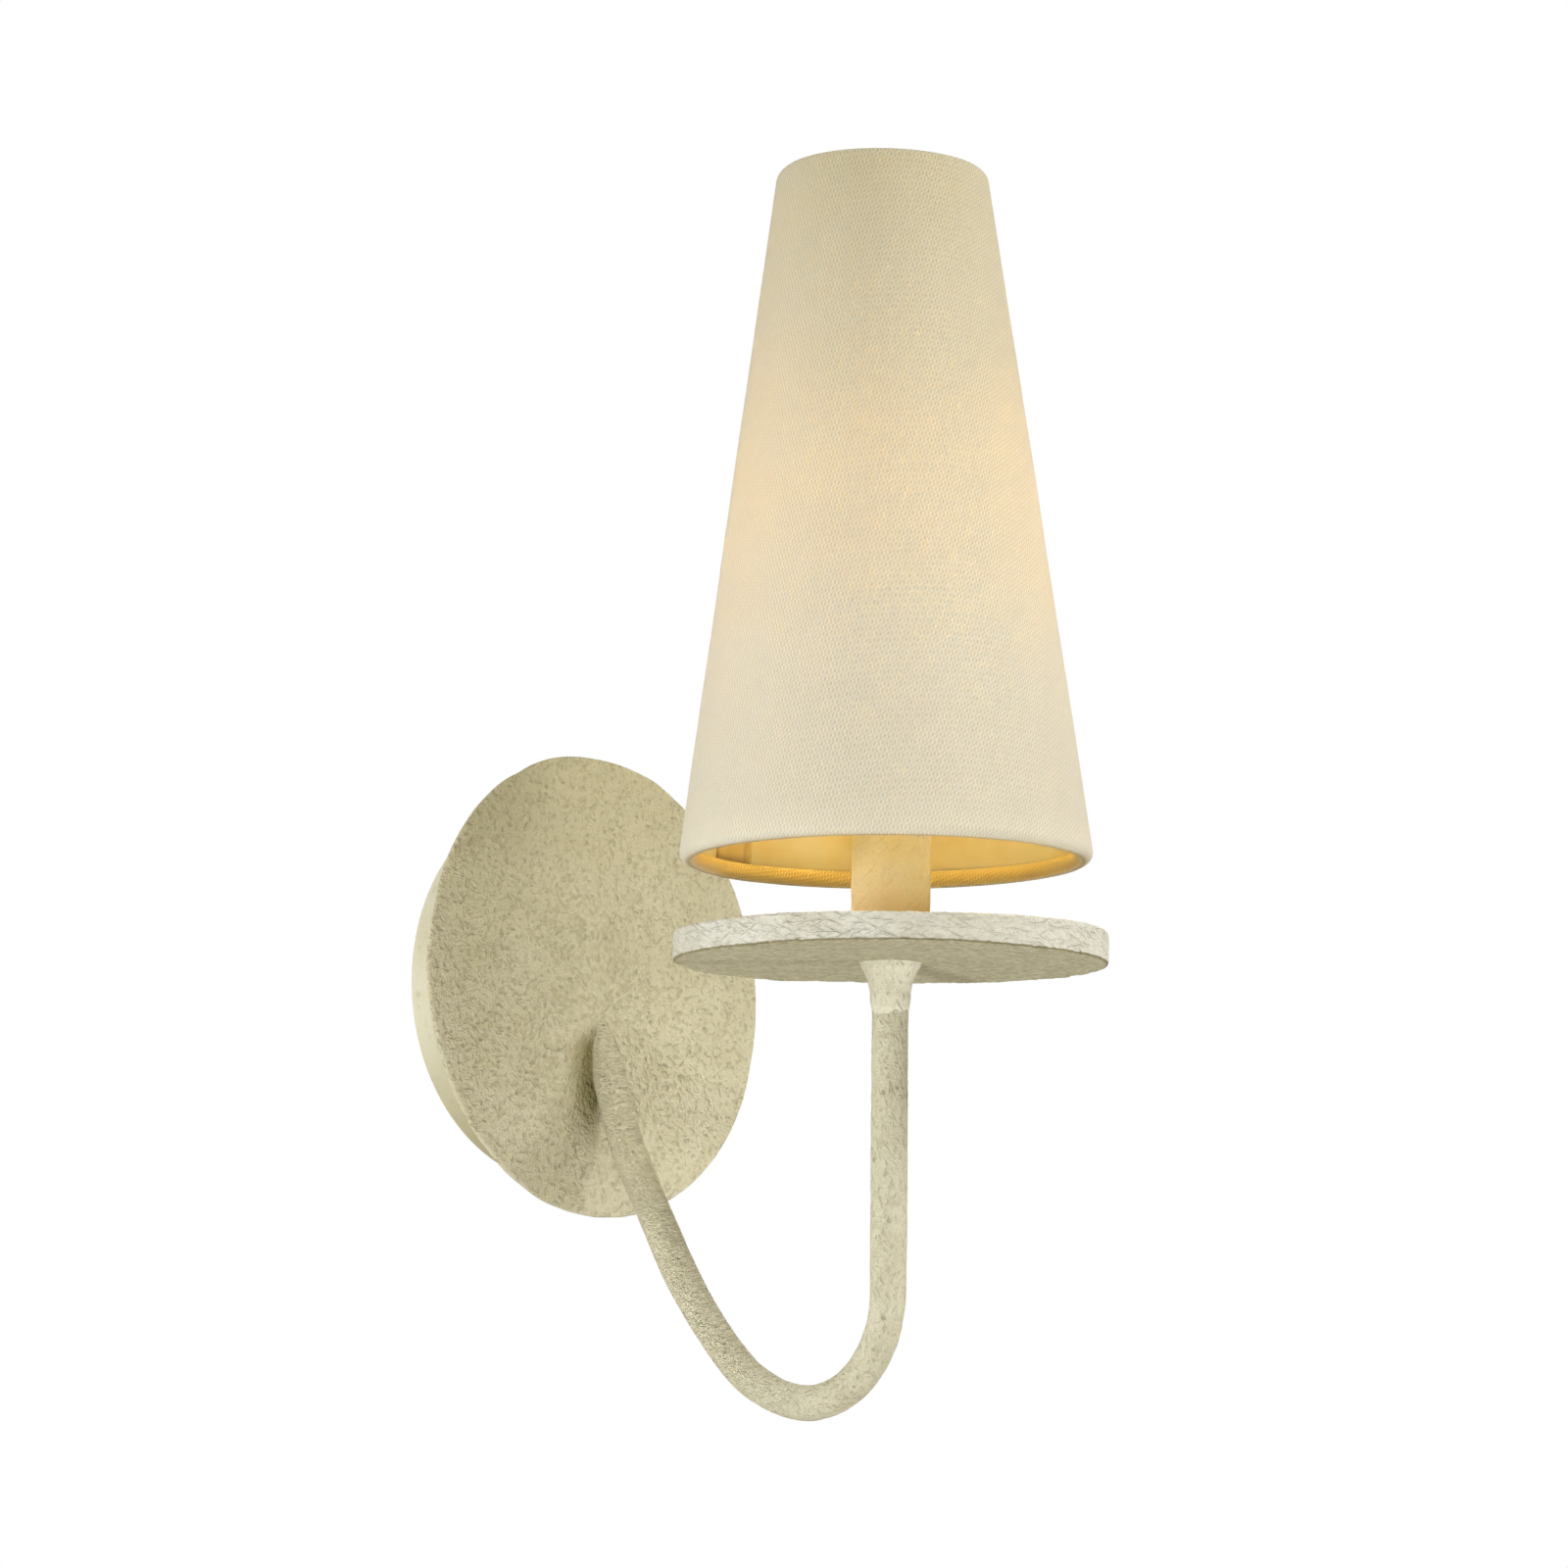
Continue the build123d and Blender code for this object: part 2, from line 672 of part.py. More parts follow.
def bulb_outline(inset):
    """Closed half outline of the bulb's glass, drawn inwards by the inset."""
    with BuildSketch(post_section) as outline:
        with BuildLine():
            CenterArc((0, bulb_wide_height + crown_rise), bulb_tip_radius - inset, crown_angle, 90 - crown_angle)
            CenterArc((crown_centre_x, bulb_wide_height), bulb_crown_radius - inset, 0, crown_angle)
            CenterArc((belly_centre_x, bulb_wide_height), bulb_belly_radius - inset, -belly_angle, belly_angle)
            neck = CenterArc(
                (neck_centre_x, bulb_wide_height - neck_drop),
                bulb_neck_bend + inset,
                180 - belly_angle,
                belly_angle,
            )
            tip = (0, bulb_wide_height + crown_rise + bulb_tip_radius - inset)
            Polyline(neck @ 1, (bulb_neck_radius - inset, neck_foot), (0, neck_foot), tip)
        make_face()
    return outline.sketch


with BuildPart() as bulb_glass:
    revolve(bulb_outline(0), axis=post_axis)
    revolve(bulb_outline(bulb_wall), axis=post_axis, mode=Mode.SUBTRACT)
bulb_glass.part.label = "bulb_glass"
export_step(bulb_glass.part, "parts/bulb_glass.step")

# Base shell: rolled thread rings below, a collar round the glass above
thread_foot = base_collar_foot - base_thread_turns * base_thread_pitch
thread_root_radius = base_thread_radius - base_thread_depth
collar_bore = bulb_neck_radius + press_clearance
with BuildPart() as bulb_base:
    with BuildSketch(post_section):
        with BuildLine() as thread_outline:
            for ring in range(base_thread_turns):
                ring_foot = thread_foot + ring * base_thread_pitch
                ThreePointArc(
                    (thread_root_radius, ring_foot),
                    (base_thread_radius, ring_foot + base_thread_pitch / 2),
                    (thread_root_radius, ring_foot + base_thread_pitch),
                )
            inside = thread_root_radius - base_wall
            Polyline(
                (thread_root_radius, base_collar_foot),
                (collar_bore + base_wall, base_collar_foot),
                (collar_bore + base_wall, base_collar_foot + base_collar_height),
                (collar_bore, base_collar_foot + base_collar_height),
                (collar_bore, base_collar_foot + seat_gap / 2),
                (inside, base_collar_foot + seat_gap / 2),
                (inside, thread_foot),
                (thread_root_radius, thread_foot),
            )
        make_face()
    revolve(axis=post_axis)
bulb_base.part.label = "bulb_base"
export_step(bulb_base.part, "parts/bulb_base.step")

# Black insulator and solder tip under the thread
with BuildPart() as base_insulator:
    with BuildSketch(post_plane(thread_foot)):
        Circle(thread_root_radius)
    with BuildSketch(post_plane(thread_foot - base_insulator_height)):
        Circle(base_tip_radius + base_wall)
    loft()
base_insulator.part.label = "base_insulator"
export_step(base_insulator.part, "parts/base_insulator.step")

with BuildPart() as base_tip:
    with BuildSketch(post_plane(thread_foot - base_insulator_height)):
        Circle(base_tip_radius)
    extrude(amount=-base_tip_height)
    fillet(base_tip.edges().group_by(Axis.Z)[0], base_tip_round)
base_tip.part.label = "base_tip"
export_step(base_tip.part, "parts/base_tip.step")

# Glass stem inside the bulb, flared at its foot
stem_foot = neck_foot
filament_height = bulb_wide_height + filament_above_belly
filament_foot = filament_height - filament_rise
stem_top = filament_foot - filament_above_stem
with BuildPart() as bulb_stem:
    with BuildSketch(post_plane(stem_foot)):
        Circle(stem_flare_radius)
    with BuildSketch(post_plane(stem_foot + stem_flare_height)):
        Circle(stem_radius)
    loft()
    with BuildSketch(post_plane(stem_foot + stem_flare_height)):
        Circle(stem_radius)
    extrude(amount=stem_top - stem_foot - stem_flare_height)
bulb_stem.part.label = "bulb_stem"
export_step(bulb_stem.part, "parts/bulb_stem.step")

# Two support wires that stand on the stem and lean out to the filament's ends
support_start = post_section.from_local_coords((stem_radius / 2, stem_top + filament_support_radius))
support_end = post_section.from_local_coords((filament_half_span, filament_foot))
support_way = (support_end - support_start).normalized()
support_length = (support_end - support_start).length - filament_coil_radius - press_clearance
with BuildPart() as filament_supports:
    with BuildSketch(Plane(support_start, z_dir=support_way)):
        Circle(filament_support_radius)
    extrude(amount=support_length)
    mirror(about=Plane.YZ)
filament_supports.part.label = "filament_supports"
export_step(filament_supports.part, "parts/filament_supports.step")

# Filament: a fine coil drawn as one arched rod between its supports
with BuildPart() as bulb_filament:
    with BuildLine(post_section) as filament_arch:
        ThreePointArc(
            (filament_half_span, filament_foot),
            (0, filament_height),
            (-filament_half_span, filament_foot),
        )
    with BuildSketch(Plane(filament_arch.line @ 0, z_dir=filament_arch.line % 0)):
        Circle(filament_coil_radius)
    sweep()
bulb_filament.part.label = "bulb_filament"
export_step(bulb_filament.part, "parts/bulb_filament.step")

# The shade leans a little on its clip. Its own frame has its origin where the clip grips the bulb
lean_way = Vector(cos(radians(shade_lean_heading)), sin(radians(shade_lean_heading)), 0)
shade_up = lean_way * sin(radians(shade_lean)) + Vector(0, 0, cos(radians(shade_lean)))
shade_across = Vector(lean_way.Y, -lean_way.X, 0)
shade_along = shade_up.cross(shade_across)
shade_origin = Vector(0, post_y, bulb_wide_height) + lean_way * shade_shift
shade_axis = Axis(shade_origin, shade_up)


def half_section(turn):
    """Section plane through the shade's axis, turned from the across direction by the angle."""
    outward = shade_across.rotate(Axis((0, 0, 0), shade_up), turn)
    return Plane(shade_origin, x_dir=outward, z_dir=outward.cross(shade_up))


shade_section = half_section(0)
shade_foot = -shade_foot_drop
shade_top = shade_foot + shade_height
wall_slope = atan2(shade_foot_radius - shade_top_radius, shade_height)
roll_radius = ring_wire_radius + glue_gap + cloth_thickness


def wall_radius(height, inset):
    """Radius of the cloth's outside at a height in the shade's frame, drawn inwards by the inset."""
    return shade_foot_radius - (height - shade_foot) * tan(wall_slope) - inset / cos(wall_slope)


foot_ring_height = shade_foot + roll_radius
top_ring_height = shade_top - roll_radius
foot_ring_radius = wall_radius(foot_ring_height, roll_radius)
top_ring_radius = wall_radius(top_ring_height, roll_radius)


def wall_strip(foot, top, outer_inset, inner_inset):
    """Slanted strip of the shade's wall between two heights and two insets."""
    Polygon(
        (wall_radius(foot, outer_inset), foot),
        (wall_radius(top, outer_inset), top),
        (wall_radius(top, inner_inset), top),
        (wall_radius(foot, inner_inset), foot),
        align=None,
    )


# Cloth: the cone, turned in round a wire ring at each end
with BuildPart() as shade_cloth:
    with BuildSketch(shade_section):
        wall_strip(
            foot_ring_height - roll_radius * sin(wall_slope),
            top_ring_height + roll_radius * sin(wall_slope),
            0,
            cloth_thickness,
        )
        with Locations((foot_ring_radius, foot_ring_height), (top_ring_radius, top_ring_height)):
            Circle(roll_radius)
            Circle(roll_radius - cloth_thickness, mode=Mode.SUBTRACT)
        with Locations((foot_ring_radius, foot_ring_height + roll_radius)):
            Rectangle(cloth_tuck_gap, 2 * roll_radius, mode=Mode.SUBTRACT)
        with Locations((top_ring_radius, top_ring_height - roll_radius)):
            Rectangle(cloth_tuck_gap, 2 * roll_radius, mode=Mode.SUBTRACT)
    revolve(axis=shade_axis)
shade_cloth.part.label = "shade_cloth"
export_step(shade_cloth.part, "parts/shade_cloth.step")

# Stiff liner behind the cloth, between the two rolled ends
liner_inset = cloth_thickness + glue_gap
liner_foot = foot_ring_height + roll_radius + seat_gap
liner_top = top_ring_height - roll_radius - seat_gap
with BuildPart() as shade_liner:
    with BuildSketch(shade_section):
        wall_strip(liner_foot, liner_top, liner_inset, liner_inset + liner_thickness)
    revolve(axis=shade_axis)
shade_liner.part.label = "shade_liner"
export_step(shade_liner.part, "parts/shade_liner.step")

# Seam strip inside, on the side of the shade that faces the wall
seam_inset = liner_inset + liner_thickness + glue_gap / 2
across_heading = shade_lean_heading - 90
with BuildPart() as seam_strip:
    with BuildSketch(half_section(seam_start_angle - across_heading)):
        wall_strip(liner_foot, liner_top, seam_inset, seam_inset + seam_thickness)
    revolve(axis=shade_axis, revolution_arc=seam_angle)
seam_strip.part.label = "seam_strip"
export_step(seam_strip.part, "parts/seam_strip.step")


def shade_ring(radius, height):
    """Wire ring of the shade's frame."""
    with BuildPart() as ring:
        with BuildSketch(shade_section):
            with Locations((radius, height)):
                Circle(ring_wire_radius)
        revolve(axis=shade_axis)
    return ring


shade_foot_ring = shade_ring(foot_ring_radius, foot_ring_height)
shade_foot_ring.part.label = "shade_foot_ring"
export_step(shade_foot_ring.part, "parts/shade_foot_ring.step")

shade_top_ring = shade_ring(top_ring_radius, top_ring_height)
shade_top_ring.part.label = "shade_top_ring"
export_step(shade_top_ring.part, "parts/shade_top_ring.step")

# Clip: two hairpin wires that hang from the top ring and hug the bulb at its widest place
clip_end_radius = top_ring_radius - roll_radius - seat_gap - clip_wire_radius
clip_top_reach = sqrt(clip_end_radius**2 - clip_half_width**2)
clip_grip_reach = bulb_radius + seat_gap + clip_wire_radius
with BuildPart() as bulb_clip:
    for side in (1, -1):
        grip_point = shade_section.from_local_coords((side * clip_grip_reach, 0))
        top_point = shade_section.from_local_coords((side * clip_top_reach, top_ring_height))
        hairpin_up = (top_point - grip_point).normalized()
        hairpin_length = (top_point - grip_point).length
        hairpin = Plane(grip_point, x_dir=shade_along, z_dir=shade_along.cross(hairpin_up))
        with BuildLine(hairpin) as hairpin_route:
            FilletPolyline(
                (-clip_half_width, hairpin_length),
                (-clip_half_width, 0),
                (clip_half_width, 0),
                (clip_half_width, hairpin_length),
                radius=clip_corner_radius,
            )
        with BuildSketch(Plane(hairpin_route.line @ 0, z_dir=hairpin_route.line % 0)):
            Circle(clip_wire_radius)
        sweep()
bulb_clip.part.label = "bulb_clip"
export_step(bulb_clip.part, "parts/bulb_clip.step")
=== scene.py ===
import math
from functools import partial
import bpy
import numpy as np
from mathutils import Matrix, Vector


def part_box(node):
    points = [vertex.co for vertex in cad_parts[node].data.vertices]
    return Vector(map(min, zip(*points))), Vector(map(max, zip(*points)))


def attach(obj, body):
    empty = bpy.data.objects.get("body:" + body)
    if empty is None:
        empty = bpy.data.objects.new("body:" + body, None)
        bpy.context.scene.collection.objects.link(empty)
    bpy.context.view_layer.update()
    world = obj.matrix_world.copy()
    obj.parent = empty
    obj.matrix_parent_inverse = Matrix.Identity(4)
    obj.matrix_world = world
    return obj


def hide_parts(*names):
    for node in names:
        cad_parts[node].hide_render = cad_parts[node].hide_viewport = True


# Looks of the iron arm wall sconce. Lengths are in metres and angles in degrees.
# The wall is the plane Y = 0, the sconce stands out towards -Y, and +Z is up.

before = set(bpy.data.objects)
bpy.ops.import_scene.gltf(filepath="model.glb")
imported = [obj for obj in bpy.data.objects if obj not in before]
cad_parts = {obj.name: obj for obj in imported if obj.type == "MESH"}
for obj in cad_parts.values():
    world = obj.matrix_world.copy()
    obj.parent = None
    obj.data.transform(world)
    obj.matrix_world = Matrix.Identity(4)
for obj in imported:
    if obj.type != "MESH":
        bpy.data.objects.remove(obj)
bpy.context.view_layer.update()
MM = 0.001

# Sizes of the iron parts, as the construction has them
PLATE_LONG_RADIUS = 86.2 * MM
PLATE_SHORT_RADIUS = 80.5 * MM
PLATE_LONG_ANGLE = 118.0
PLATE_EDGE_ROUND = 0.8 * MM
WIRE_HOLE_RADIUS = 5.0 * MM
WIRE_LIP_RADIUS = 3.6 * MM
WIRE_LIP_RISE = 0.35 * MM
ROD_RADIUS = 6.4 * MM
ROOT_DEPTH = 22.1 * MM
ROOT_HEIGHT = 5.1 * MM
ROOT_BEND = (140.8 * MM, 32.5)
NOSE_ANGLE = 16.0
NOSE_TIP_HEIGHT = -10.0 * MM
NOSE_TIP_RADIUS = 1.8 * MM
NOSE_TIP_RISE = 0.3 * MM
SLOPE_LENGTH = 30.3 * MM
REACH_BEND = (183.1 * MM, 16.5)
LOWER_BEND = (57.6 * MM, 35.2)
HOOK_BEND_RADIUS = 38.4 * MM
COLLAR_FLARE_RADIUS = 18.0 * MM
NIPPLE_HOLE_RADIUS = 5.6 * MM
COLLAR_FOOT_RADIUS = 6.95 * MM
DISC_EDGE_ROUND = 1.2 * MM
COVER_BORE_RADIUS = 11.2 * MM
COVER_EDGE_ROUND = 1.1 * MM

# Gesso on the plate: a nick in its edge, relief, where it is roughest, and the fillet round the arm
PLATE_NICK = (-39.0 * MM, 72.0 * MM)
PLATE_NICK_WIDTH = 4.0 * MM
PLATE_NICK_DEPTH = 1.6 * MM
PLATE_EDGE_WANDER = 0.5 * MM
PLATE_WAVE_SIZE = 26.0 * MM
PLATE_WAVE_HEIGHT = 0.16 * MM
PLATE_LUMP = 1.9 * MM
PLATE_RELIEF = 0.26 * MM
PLATE_COAT = 0.10 * MM
PLATE_ROUGHEST = (6.0 * MM, 12.0 * MM)
PLATE_ROUGH_REACH = 50.0 * MM
FILLET_REACH = 1.4 * MM
FILLET_EXTRA = 7.0 * MM

# Gesso on the arm, the disc and the candle cover: how far the coat's face lies from the size in the frame
ARM_COAT_SUNK = 0.16 * MM
ARM_HOOK_SUNK = 0.22 * MM
DISC_COAT = 0.30 * MM
DISC_RISE = 1.0 * MM
DISC_DROP = 0.5 * MM
COVER_COAT_SUNK = 0.50 * MM

# Sizes of the shade's cloth, as the construction has them
SHADE_FOOT_RADIUS = 71.4 * MM
SHADE_TOP_RADIUS = 37.3 * MM
SHADE_HEIGHT = 243.4 * MM
SHADE_FOOT_HEIGHT = 34.2 * MM
SHADE_LEAN = 0.68
SHADE_LEAN_HEADING = 135.0
SHADE_SHIFT = 3.0 * MM
GRIP_HEIGHT = 145.0 * MM
CLOTH_THICKNESS = 0.7 * MM
TOP_ROLL_RADIUS = 2.7 * MM
FOOT_ROLL_RADIUS = 3.1 * MM
SEAM_START = 87.0
SEAM_ANGLE = 14.0
SEAM_THICKNESS = 0.4 * MM
SEAM_INSET = 1.25 * MM
SEAM_STRIP_HEADINGS = (87.6, 103.6)
SEAM_BEAD_HEADING = 89.0
SEAM_BEAD_WIDTH = 1.2 * MM
SEAM_BEAD_DEPTH = 1.3 * MM
LINER_END_GAP = 5.65 * MM
ROLL_END = 262.0
FOOT_ROLL_STEPS = 18
TOP_ROLL_STEPS = 16
WALL_STEPS = 44
CLOTH_COLUMNS = 300

# How the shade is out of true: tilt and bow of its ends, slack, ripple and the step at the overlap
TOP_TILT = 0.45 * MM
TOP_TILT_HEADING = math.radians(135)
TOP_BOW = 0.55 * MM
TOP_BOW_HEADING = math.radians(290)
FOOT_DROP = 0.65 * MM
FOOT_DROP_HEADING = math.radians(10)
CLOTH_SLACK = 0.22 * MM
CLOTH_RIPPLE = 0.08 * MM
OVERLAP_RISE = 0.5 * MM

# Waves of the weave per metre, across and along the cloth: slanting ribs, and upright floats set like bricks
TWILL_WAVE = (400.0, -667.0)
FLOAT_WAVE = (770.0, 133.0)
CROSS_FLOAT_WAVE = (742.0, -320.0)
THREAD_WOBBLE = 0.35 * MM
WEAVE_DEPTH = 0.36 * MM
CLOTH_THROUGH = 0.35

# Brush strokes round the disc: turn per metre of height, squeeze along the height, width and share left bare
BRUSH_STROKES = ((16.0, 0.22, 2.4 * MM, -0.1), (-11.0, 0.30, 2.2 * MM, 0.1), (0.0, 2.6, 5.0 * MM, 0.0))

# Fine strokes: turn per metre of height, a stroke's size in X, Y and Z, and the share of strokes
DISC_COURSES = (
    (30.0, (0.9 * MM, 0.9 * MM, 2.0 * MM), 0.03),
    (-24.0, (0.8 * MM, 0.8 * MM, 1.8 * MM), 0.00),
    (0.0, (3.4 * MM, 3.4 * MM, 0.50 * MM), 0.05),
)
COVER_COURSES = ((-90.0, (0.6 * MM, 0.6 * MM, 2.0 * MM), 0.02),)
ARM_COURSES = (
    (60.0, (0.7 * MM, 0.7 * MM, 1.6 * MM), 0.04),
    (-40.0, (0.7 * MM, 0.7 * MM, 1.3 * MM), 0.02),
)

# Strokes on the plate: they point at this height close to it, and stray from that further out
STROKE_AIM_HEIGHT = -10.0 * MM
STROKE_PULL = 0.022
STROKE_STRAY = 2.5
STROKE_SCALE = (330.0, 600.0, 600.0)

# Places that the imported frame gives
plate_low, plate_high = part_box("front_plate")
disc_low, disc_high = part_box("drip_disc")
cover_low, cover_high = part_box("candle_cover")
collar_low, collar_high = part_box("post_collar")
bushing_low, bushing_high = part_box("lead_bushing")
PLATE_FRONT = plate_low.y
PLATE_BACK = plate_high.y
POST = Vector((0, (disc_low.y + disc_high.y) / 2, 0))
DISC_RADIUS = (disc_high.x - disc_low.x) / 2
COVER_RADIUS = (cover_high.x - cover_low.x) / 2


# Shape helpers
def value_noise(points, size, seed):
    """Smooth noise from -1 to 1, with lumps of about the given size, one value for each point."""
    cell = np.asarray(points, float) / size
    base = np.floor(cell).astype(np.int64)
    part = cell - base
    part = part * part * (3 - 2 * part)
    total = np.zeros(len(cell))
    for corner in range(8):
        step = np.array([corner & 1, corner >> 1 & 1, corner >> 2 & 1])
        at = base + step
        mixed = at[:, 0] * 73856093 ^ at[:, 1] * 19349663 ^ at[:, 2] * 83492791 ^ seed * 39916801
        mixed = (mixed ^ mixed >> 13) * 1274126177 & 0x7FFFFFFF
        mixed = (mixed ^ mixed >> 15) * 668265263 & 0x7FFFFFFF
        total += np.prod(np.where(step, part, 1 - part), axis=1) * (mixed / 0x3FFFFFFF - 1)
    return total


def layered_noise(points, size, seed, layers=3):
    """Noise with finer and weaker layers on top of each other."""
    return sum(value_noise(points, size / 2**k, seed + k) / 2**k for k in range(layers))


def gesso_relief(points, lump, seed):
    """Height of dried gesso from about -1 to 1, and how deep in one of its short grooves each point is."""
    sway = np.column_stack([value_noise(points, 2.6 * lump, seed + k) for k in range(3)])
    bent = points + 0.8 * lump * sway
    lumps = smooth_step(-0.20, 0.20, layered_noise(bent, 1.5 * lump, seed + 10, 2))
    line = np.abs(layered_noise(bent, 1.3 * lump, seed + 20, 2))
    gate = smooth_step(-0.05, 0.25, value_noise(points, 2.4 * lump, seed + 30))
    groove = smooth_step(0.13, 0.02, line) * gate
    return lumps - 0.5 - groove, groove


def brush_relief(points, seed):
    """Slanting and level brush strokes round the post: 1 in the middle of a stroke, 0 beside it."""
    strokes = np.zeros(len(points))
    for number, (slant, squeeze, width, share) in enumerate(BRUSH_STROKES):
        turn = slant * points[:, 2]
        x, y = points[:, 0] - POST.x, points[:, 1] - POST.y
        twisted = np.column_stack([x * np.cos(turn) - y * np.sin(turn), x * np.sin(turn) + y * np.cos(turn)])
        twisted = np.column_stack([twisted, points[:, 2] * squeeze])
        line = np.abs(value_noise(twisted, width, seed + 7 * number))
        gate = smooth_step(share, share + 0.2, value_noise(points, 8 * MM, seed + 7 * number + 3))
        strokes = np.maximum(strokes, smooth_step(0.16, 0.03, line) * gate)
    return strokes


def smooth_step(low, high, value):
    """From 0 below low to 1 above high."""
    part = np.clip((value - low) / (high - low), 0, 1)
    return part * part * (3 - 2 * part)


def add_piece(name, points, faces, body, slot, node, painted_shading):
    """Make a mesh that stands for a node and rides on its body; the material paints shading where the mesh is
    marked.
    """
    mesh = bpy.data.meshes.new(name)
    mesh.from_pydata(np.asarray(points).tolist(), [], faces)
    mesh.polygons.foreach_set("use_smooth", [True] * len(mesh.polygons))
    mesh.materials.append(materials[slot])
    mesh.update()
    mesh.attributes.new("hollow", "FLOAT", "POINT").data.foreach_set("value", painted_shading.astype(np.float32))
    piece = bpy.data.objects.new(name, mesh)
    bpy.context.scene.collection.objects.link(piece)
    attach(piece, body)
    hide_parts(node)
    return piece


def ring_faces(rows, columns, closed):
    """Quads between rings: a closed skin joins its last ring to its first, an open one is capped."""
    faces = []
    for row in range(rows if closed else rows - 1):
        here = row * columns
        above = (row + 1) % rows * columns
        for column in range(columns):
            beside = (column + 1) % columns
            faces.append((here + column, here + beside, above + beside, above + column))
    if not closed:
        faces.append(tuple(range(columns - 1, -1, -1)))
        faces.append(tuple(range((rows - 1) * columns, rows * columns)))
    return faces


def from_post(points):
    return np.hypot(points[:, 0] - POST.x, points[:, 1] - POST.y)


def turned_rings(profile, columns):
    """Rings of points round the post for a profile of (radius, height) points."""
    angle = np.linspace(0, 2 * math.pi, columns, endpoint=False)
    profile = np.asarray(profile, float)
    rings = np.zeros((len(profile), columns, 3))
    rings[..., 0] = POST.x + profile[:, None, 0] * np.cos(angle)
    rings[..., 1] = POST.y + profile[:, None, 0] * np.sin(angle)
    rings[..., 2] = profile[:, None, 1]
    return rings


def ring_normals(rings):
    """Unit normals of a closed skin of rings, from the neighbours along and across."""
    across = np.roll(rings, -1, axis=1) - np.roll(rings, 1, axis=1)
    along = np.roll(rings, -1, axis=0) - np.roll(rings, 1, axis=0)
    normals = np.cross(across, along)
    return normals / np.maximum(np.linalg.norm(normals, axis=2, keepdims=True), 1e-12)


def arc_profile(centre, radius, start, end, count):
    """Points on an arc in a section plane, with angles in degrees."""
    angles = np.radians(np.linspace(start, end, count))
    return [(centre[0] + radius * math.cos(a), centre[1] + radius * math.sin(a)) for a in angles]


# Node helpers
class Nodes:
    """The node tree of a material or world, built from short calls."""

    def __init__(self, owner, output="OutputMaterial"):
        owner.use_nodes = True
        self.owner = owner
        self.tree = owner.node_tree
        self.tree.nodes.clear()
        self.output = self.node(output)
        self.place = self.node("TexCoord").outputs["Object"]

    def node(self, kind, settings=None, **inputs):
        made = self.tree.nodes.new("ShaderNode" + kind)
        for key, value in (settings or {}).items():
            setattr(made, key, value)
        for key, value in inputs.items():
            self.feed(made.inputs[key.replace("_", " ")], value)
        return made

    def feed(self, socket, value):
        if isinstance(value, bpy.types.NodeSocket):
            self.tree.links.new(value, socket)
        else:
            socket.default_value = value

    def math(self, operation, first, second=0.0):
        made = self.node("Math", {"operation": operation})
        self.feed(made.inputs[0], first)
        self.feed(made.inputs[1], second)
        return made.outputs[0]

    def times(self, first, second):
        return self.math("MULTIPLY", first, second)

    def plus(self, first, second):
        return self.math("ADD", first, second)

    def larger(self, first, second):
        return self.math("MAXIMUM", first, second)

    def vector(self, operation, *values):
        """A vector operation's outcome, which is a number for a length or a dot product."""
        made = self.node("VectorMath", {"operation": operation})
        for socket, value in zip(made.inputs, values):
            self.feed(socket, value)
        return made.outputs["Value" if operation in ("LENGTH", "DOT_PRODUCT") else "Vector"]

    def part(self, index, vector=None):
        """One coordinate of a vector, or of the place."""
        return self.node("SeparateXYZ", Vector=vector or self.place).outputs[index]

    def squeeze(self, place, scale):
        return self.node("Mapping", Vector=place, Scale=scale).outputs[0]

    def noise(self, scale, detail=2.0, place=None, roughness=0.5):
        vector = place or self.place
        made = self.node("TexNoise", Vector=vector, Scale=scale, Detail=detail, Roughness=roughness)
        return made.outputs["Fac"]

    def drift(self, scale, detail=1.0, place=None):
        """Smooth noise as a vector, to bend a pattern with."""
        return self.node("TexNoise", Vector=place or self.place, Scale=scale, Detail=detail).outputs["Color"]

    def dots(self, scale, size, softness):
        """1 in round dots round scattered points, 0 between them."""
        cells = self.node("TexVoronoi", Vector=self.place, Scale=scale)
        return self.span(cells.outputs["Distance"], size + softness, size)

    def span(self, value, low, high, to_low=0.0, to_high=1.0):
        """Map a value from one range to another and clamp it."""
        made = self.node("MapRange", Value=value, From_Min=low, From_Max=high, To_Min=to_low, To_Max=to_high)
        return made.outputs["Result"]

    def blend(self, amount, first, second, mode="MIX"):
        made = self.node("Mix", {"data_type": "RGBA", "blend_type": mode, "clamp_factor": True})
        self.feed(made.inputs[0], amount)
        self.feed(made.inputs[6], first)
        self.feed(made.inputs[7], second)
        return made.outputs[2]

    def bump(self, height, distance, strength=1.0, below=None):
        made = self.node("Bump", Height=height, Distance=distance, Strength=strength)
        if below is not None:
            self.feed(made.inputs["Normal"], below)
        return made.outputs["Normal"]

    def principled(self, colour, roughness, normal=None, **fixed):
        made = self.node("BsdfPrincipled", Base_Color=colour, Roughness=roughness)
        for key, value in fixed.items():
            made.inputs[key.replace("_", " ")].default_value = value
        if normal is not None:
            self.feed(made.inputs["Normal"], normal)
        return made.outputs["BSDF"]

    def mix_shaders(self, share, first, second):
        mixed = self.node("MixShader", Fac=share)
        self.feed(mixed.inputs[1], first)
        self.feed(mixed.inputs[2], second)
        return mixed.outputs[0]

    def hollow(self):
        """How much painted shading the mesh is marked with."""
        return self.node("Attribute", {"attribute_name": "hollow"}).outputs["Fac"]

    def seen(self):
        """1 for rays that show this to the camera: straight, through glass or in a reflection."""
        rays = self.node("LightPath").outputs
        straight = self.larger(rays["Is Camera Ray"], rays["Is Glossy Ray"])
        return self.larger(straight, rays["Is Transmission Ray"])

    def finish(self, surface):
        self.tree.links.new(surface, self.output.inputs["Surface"])
        return self.owner


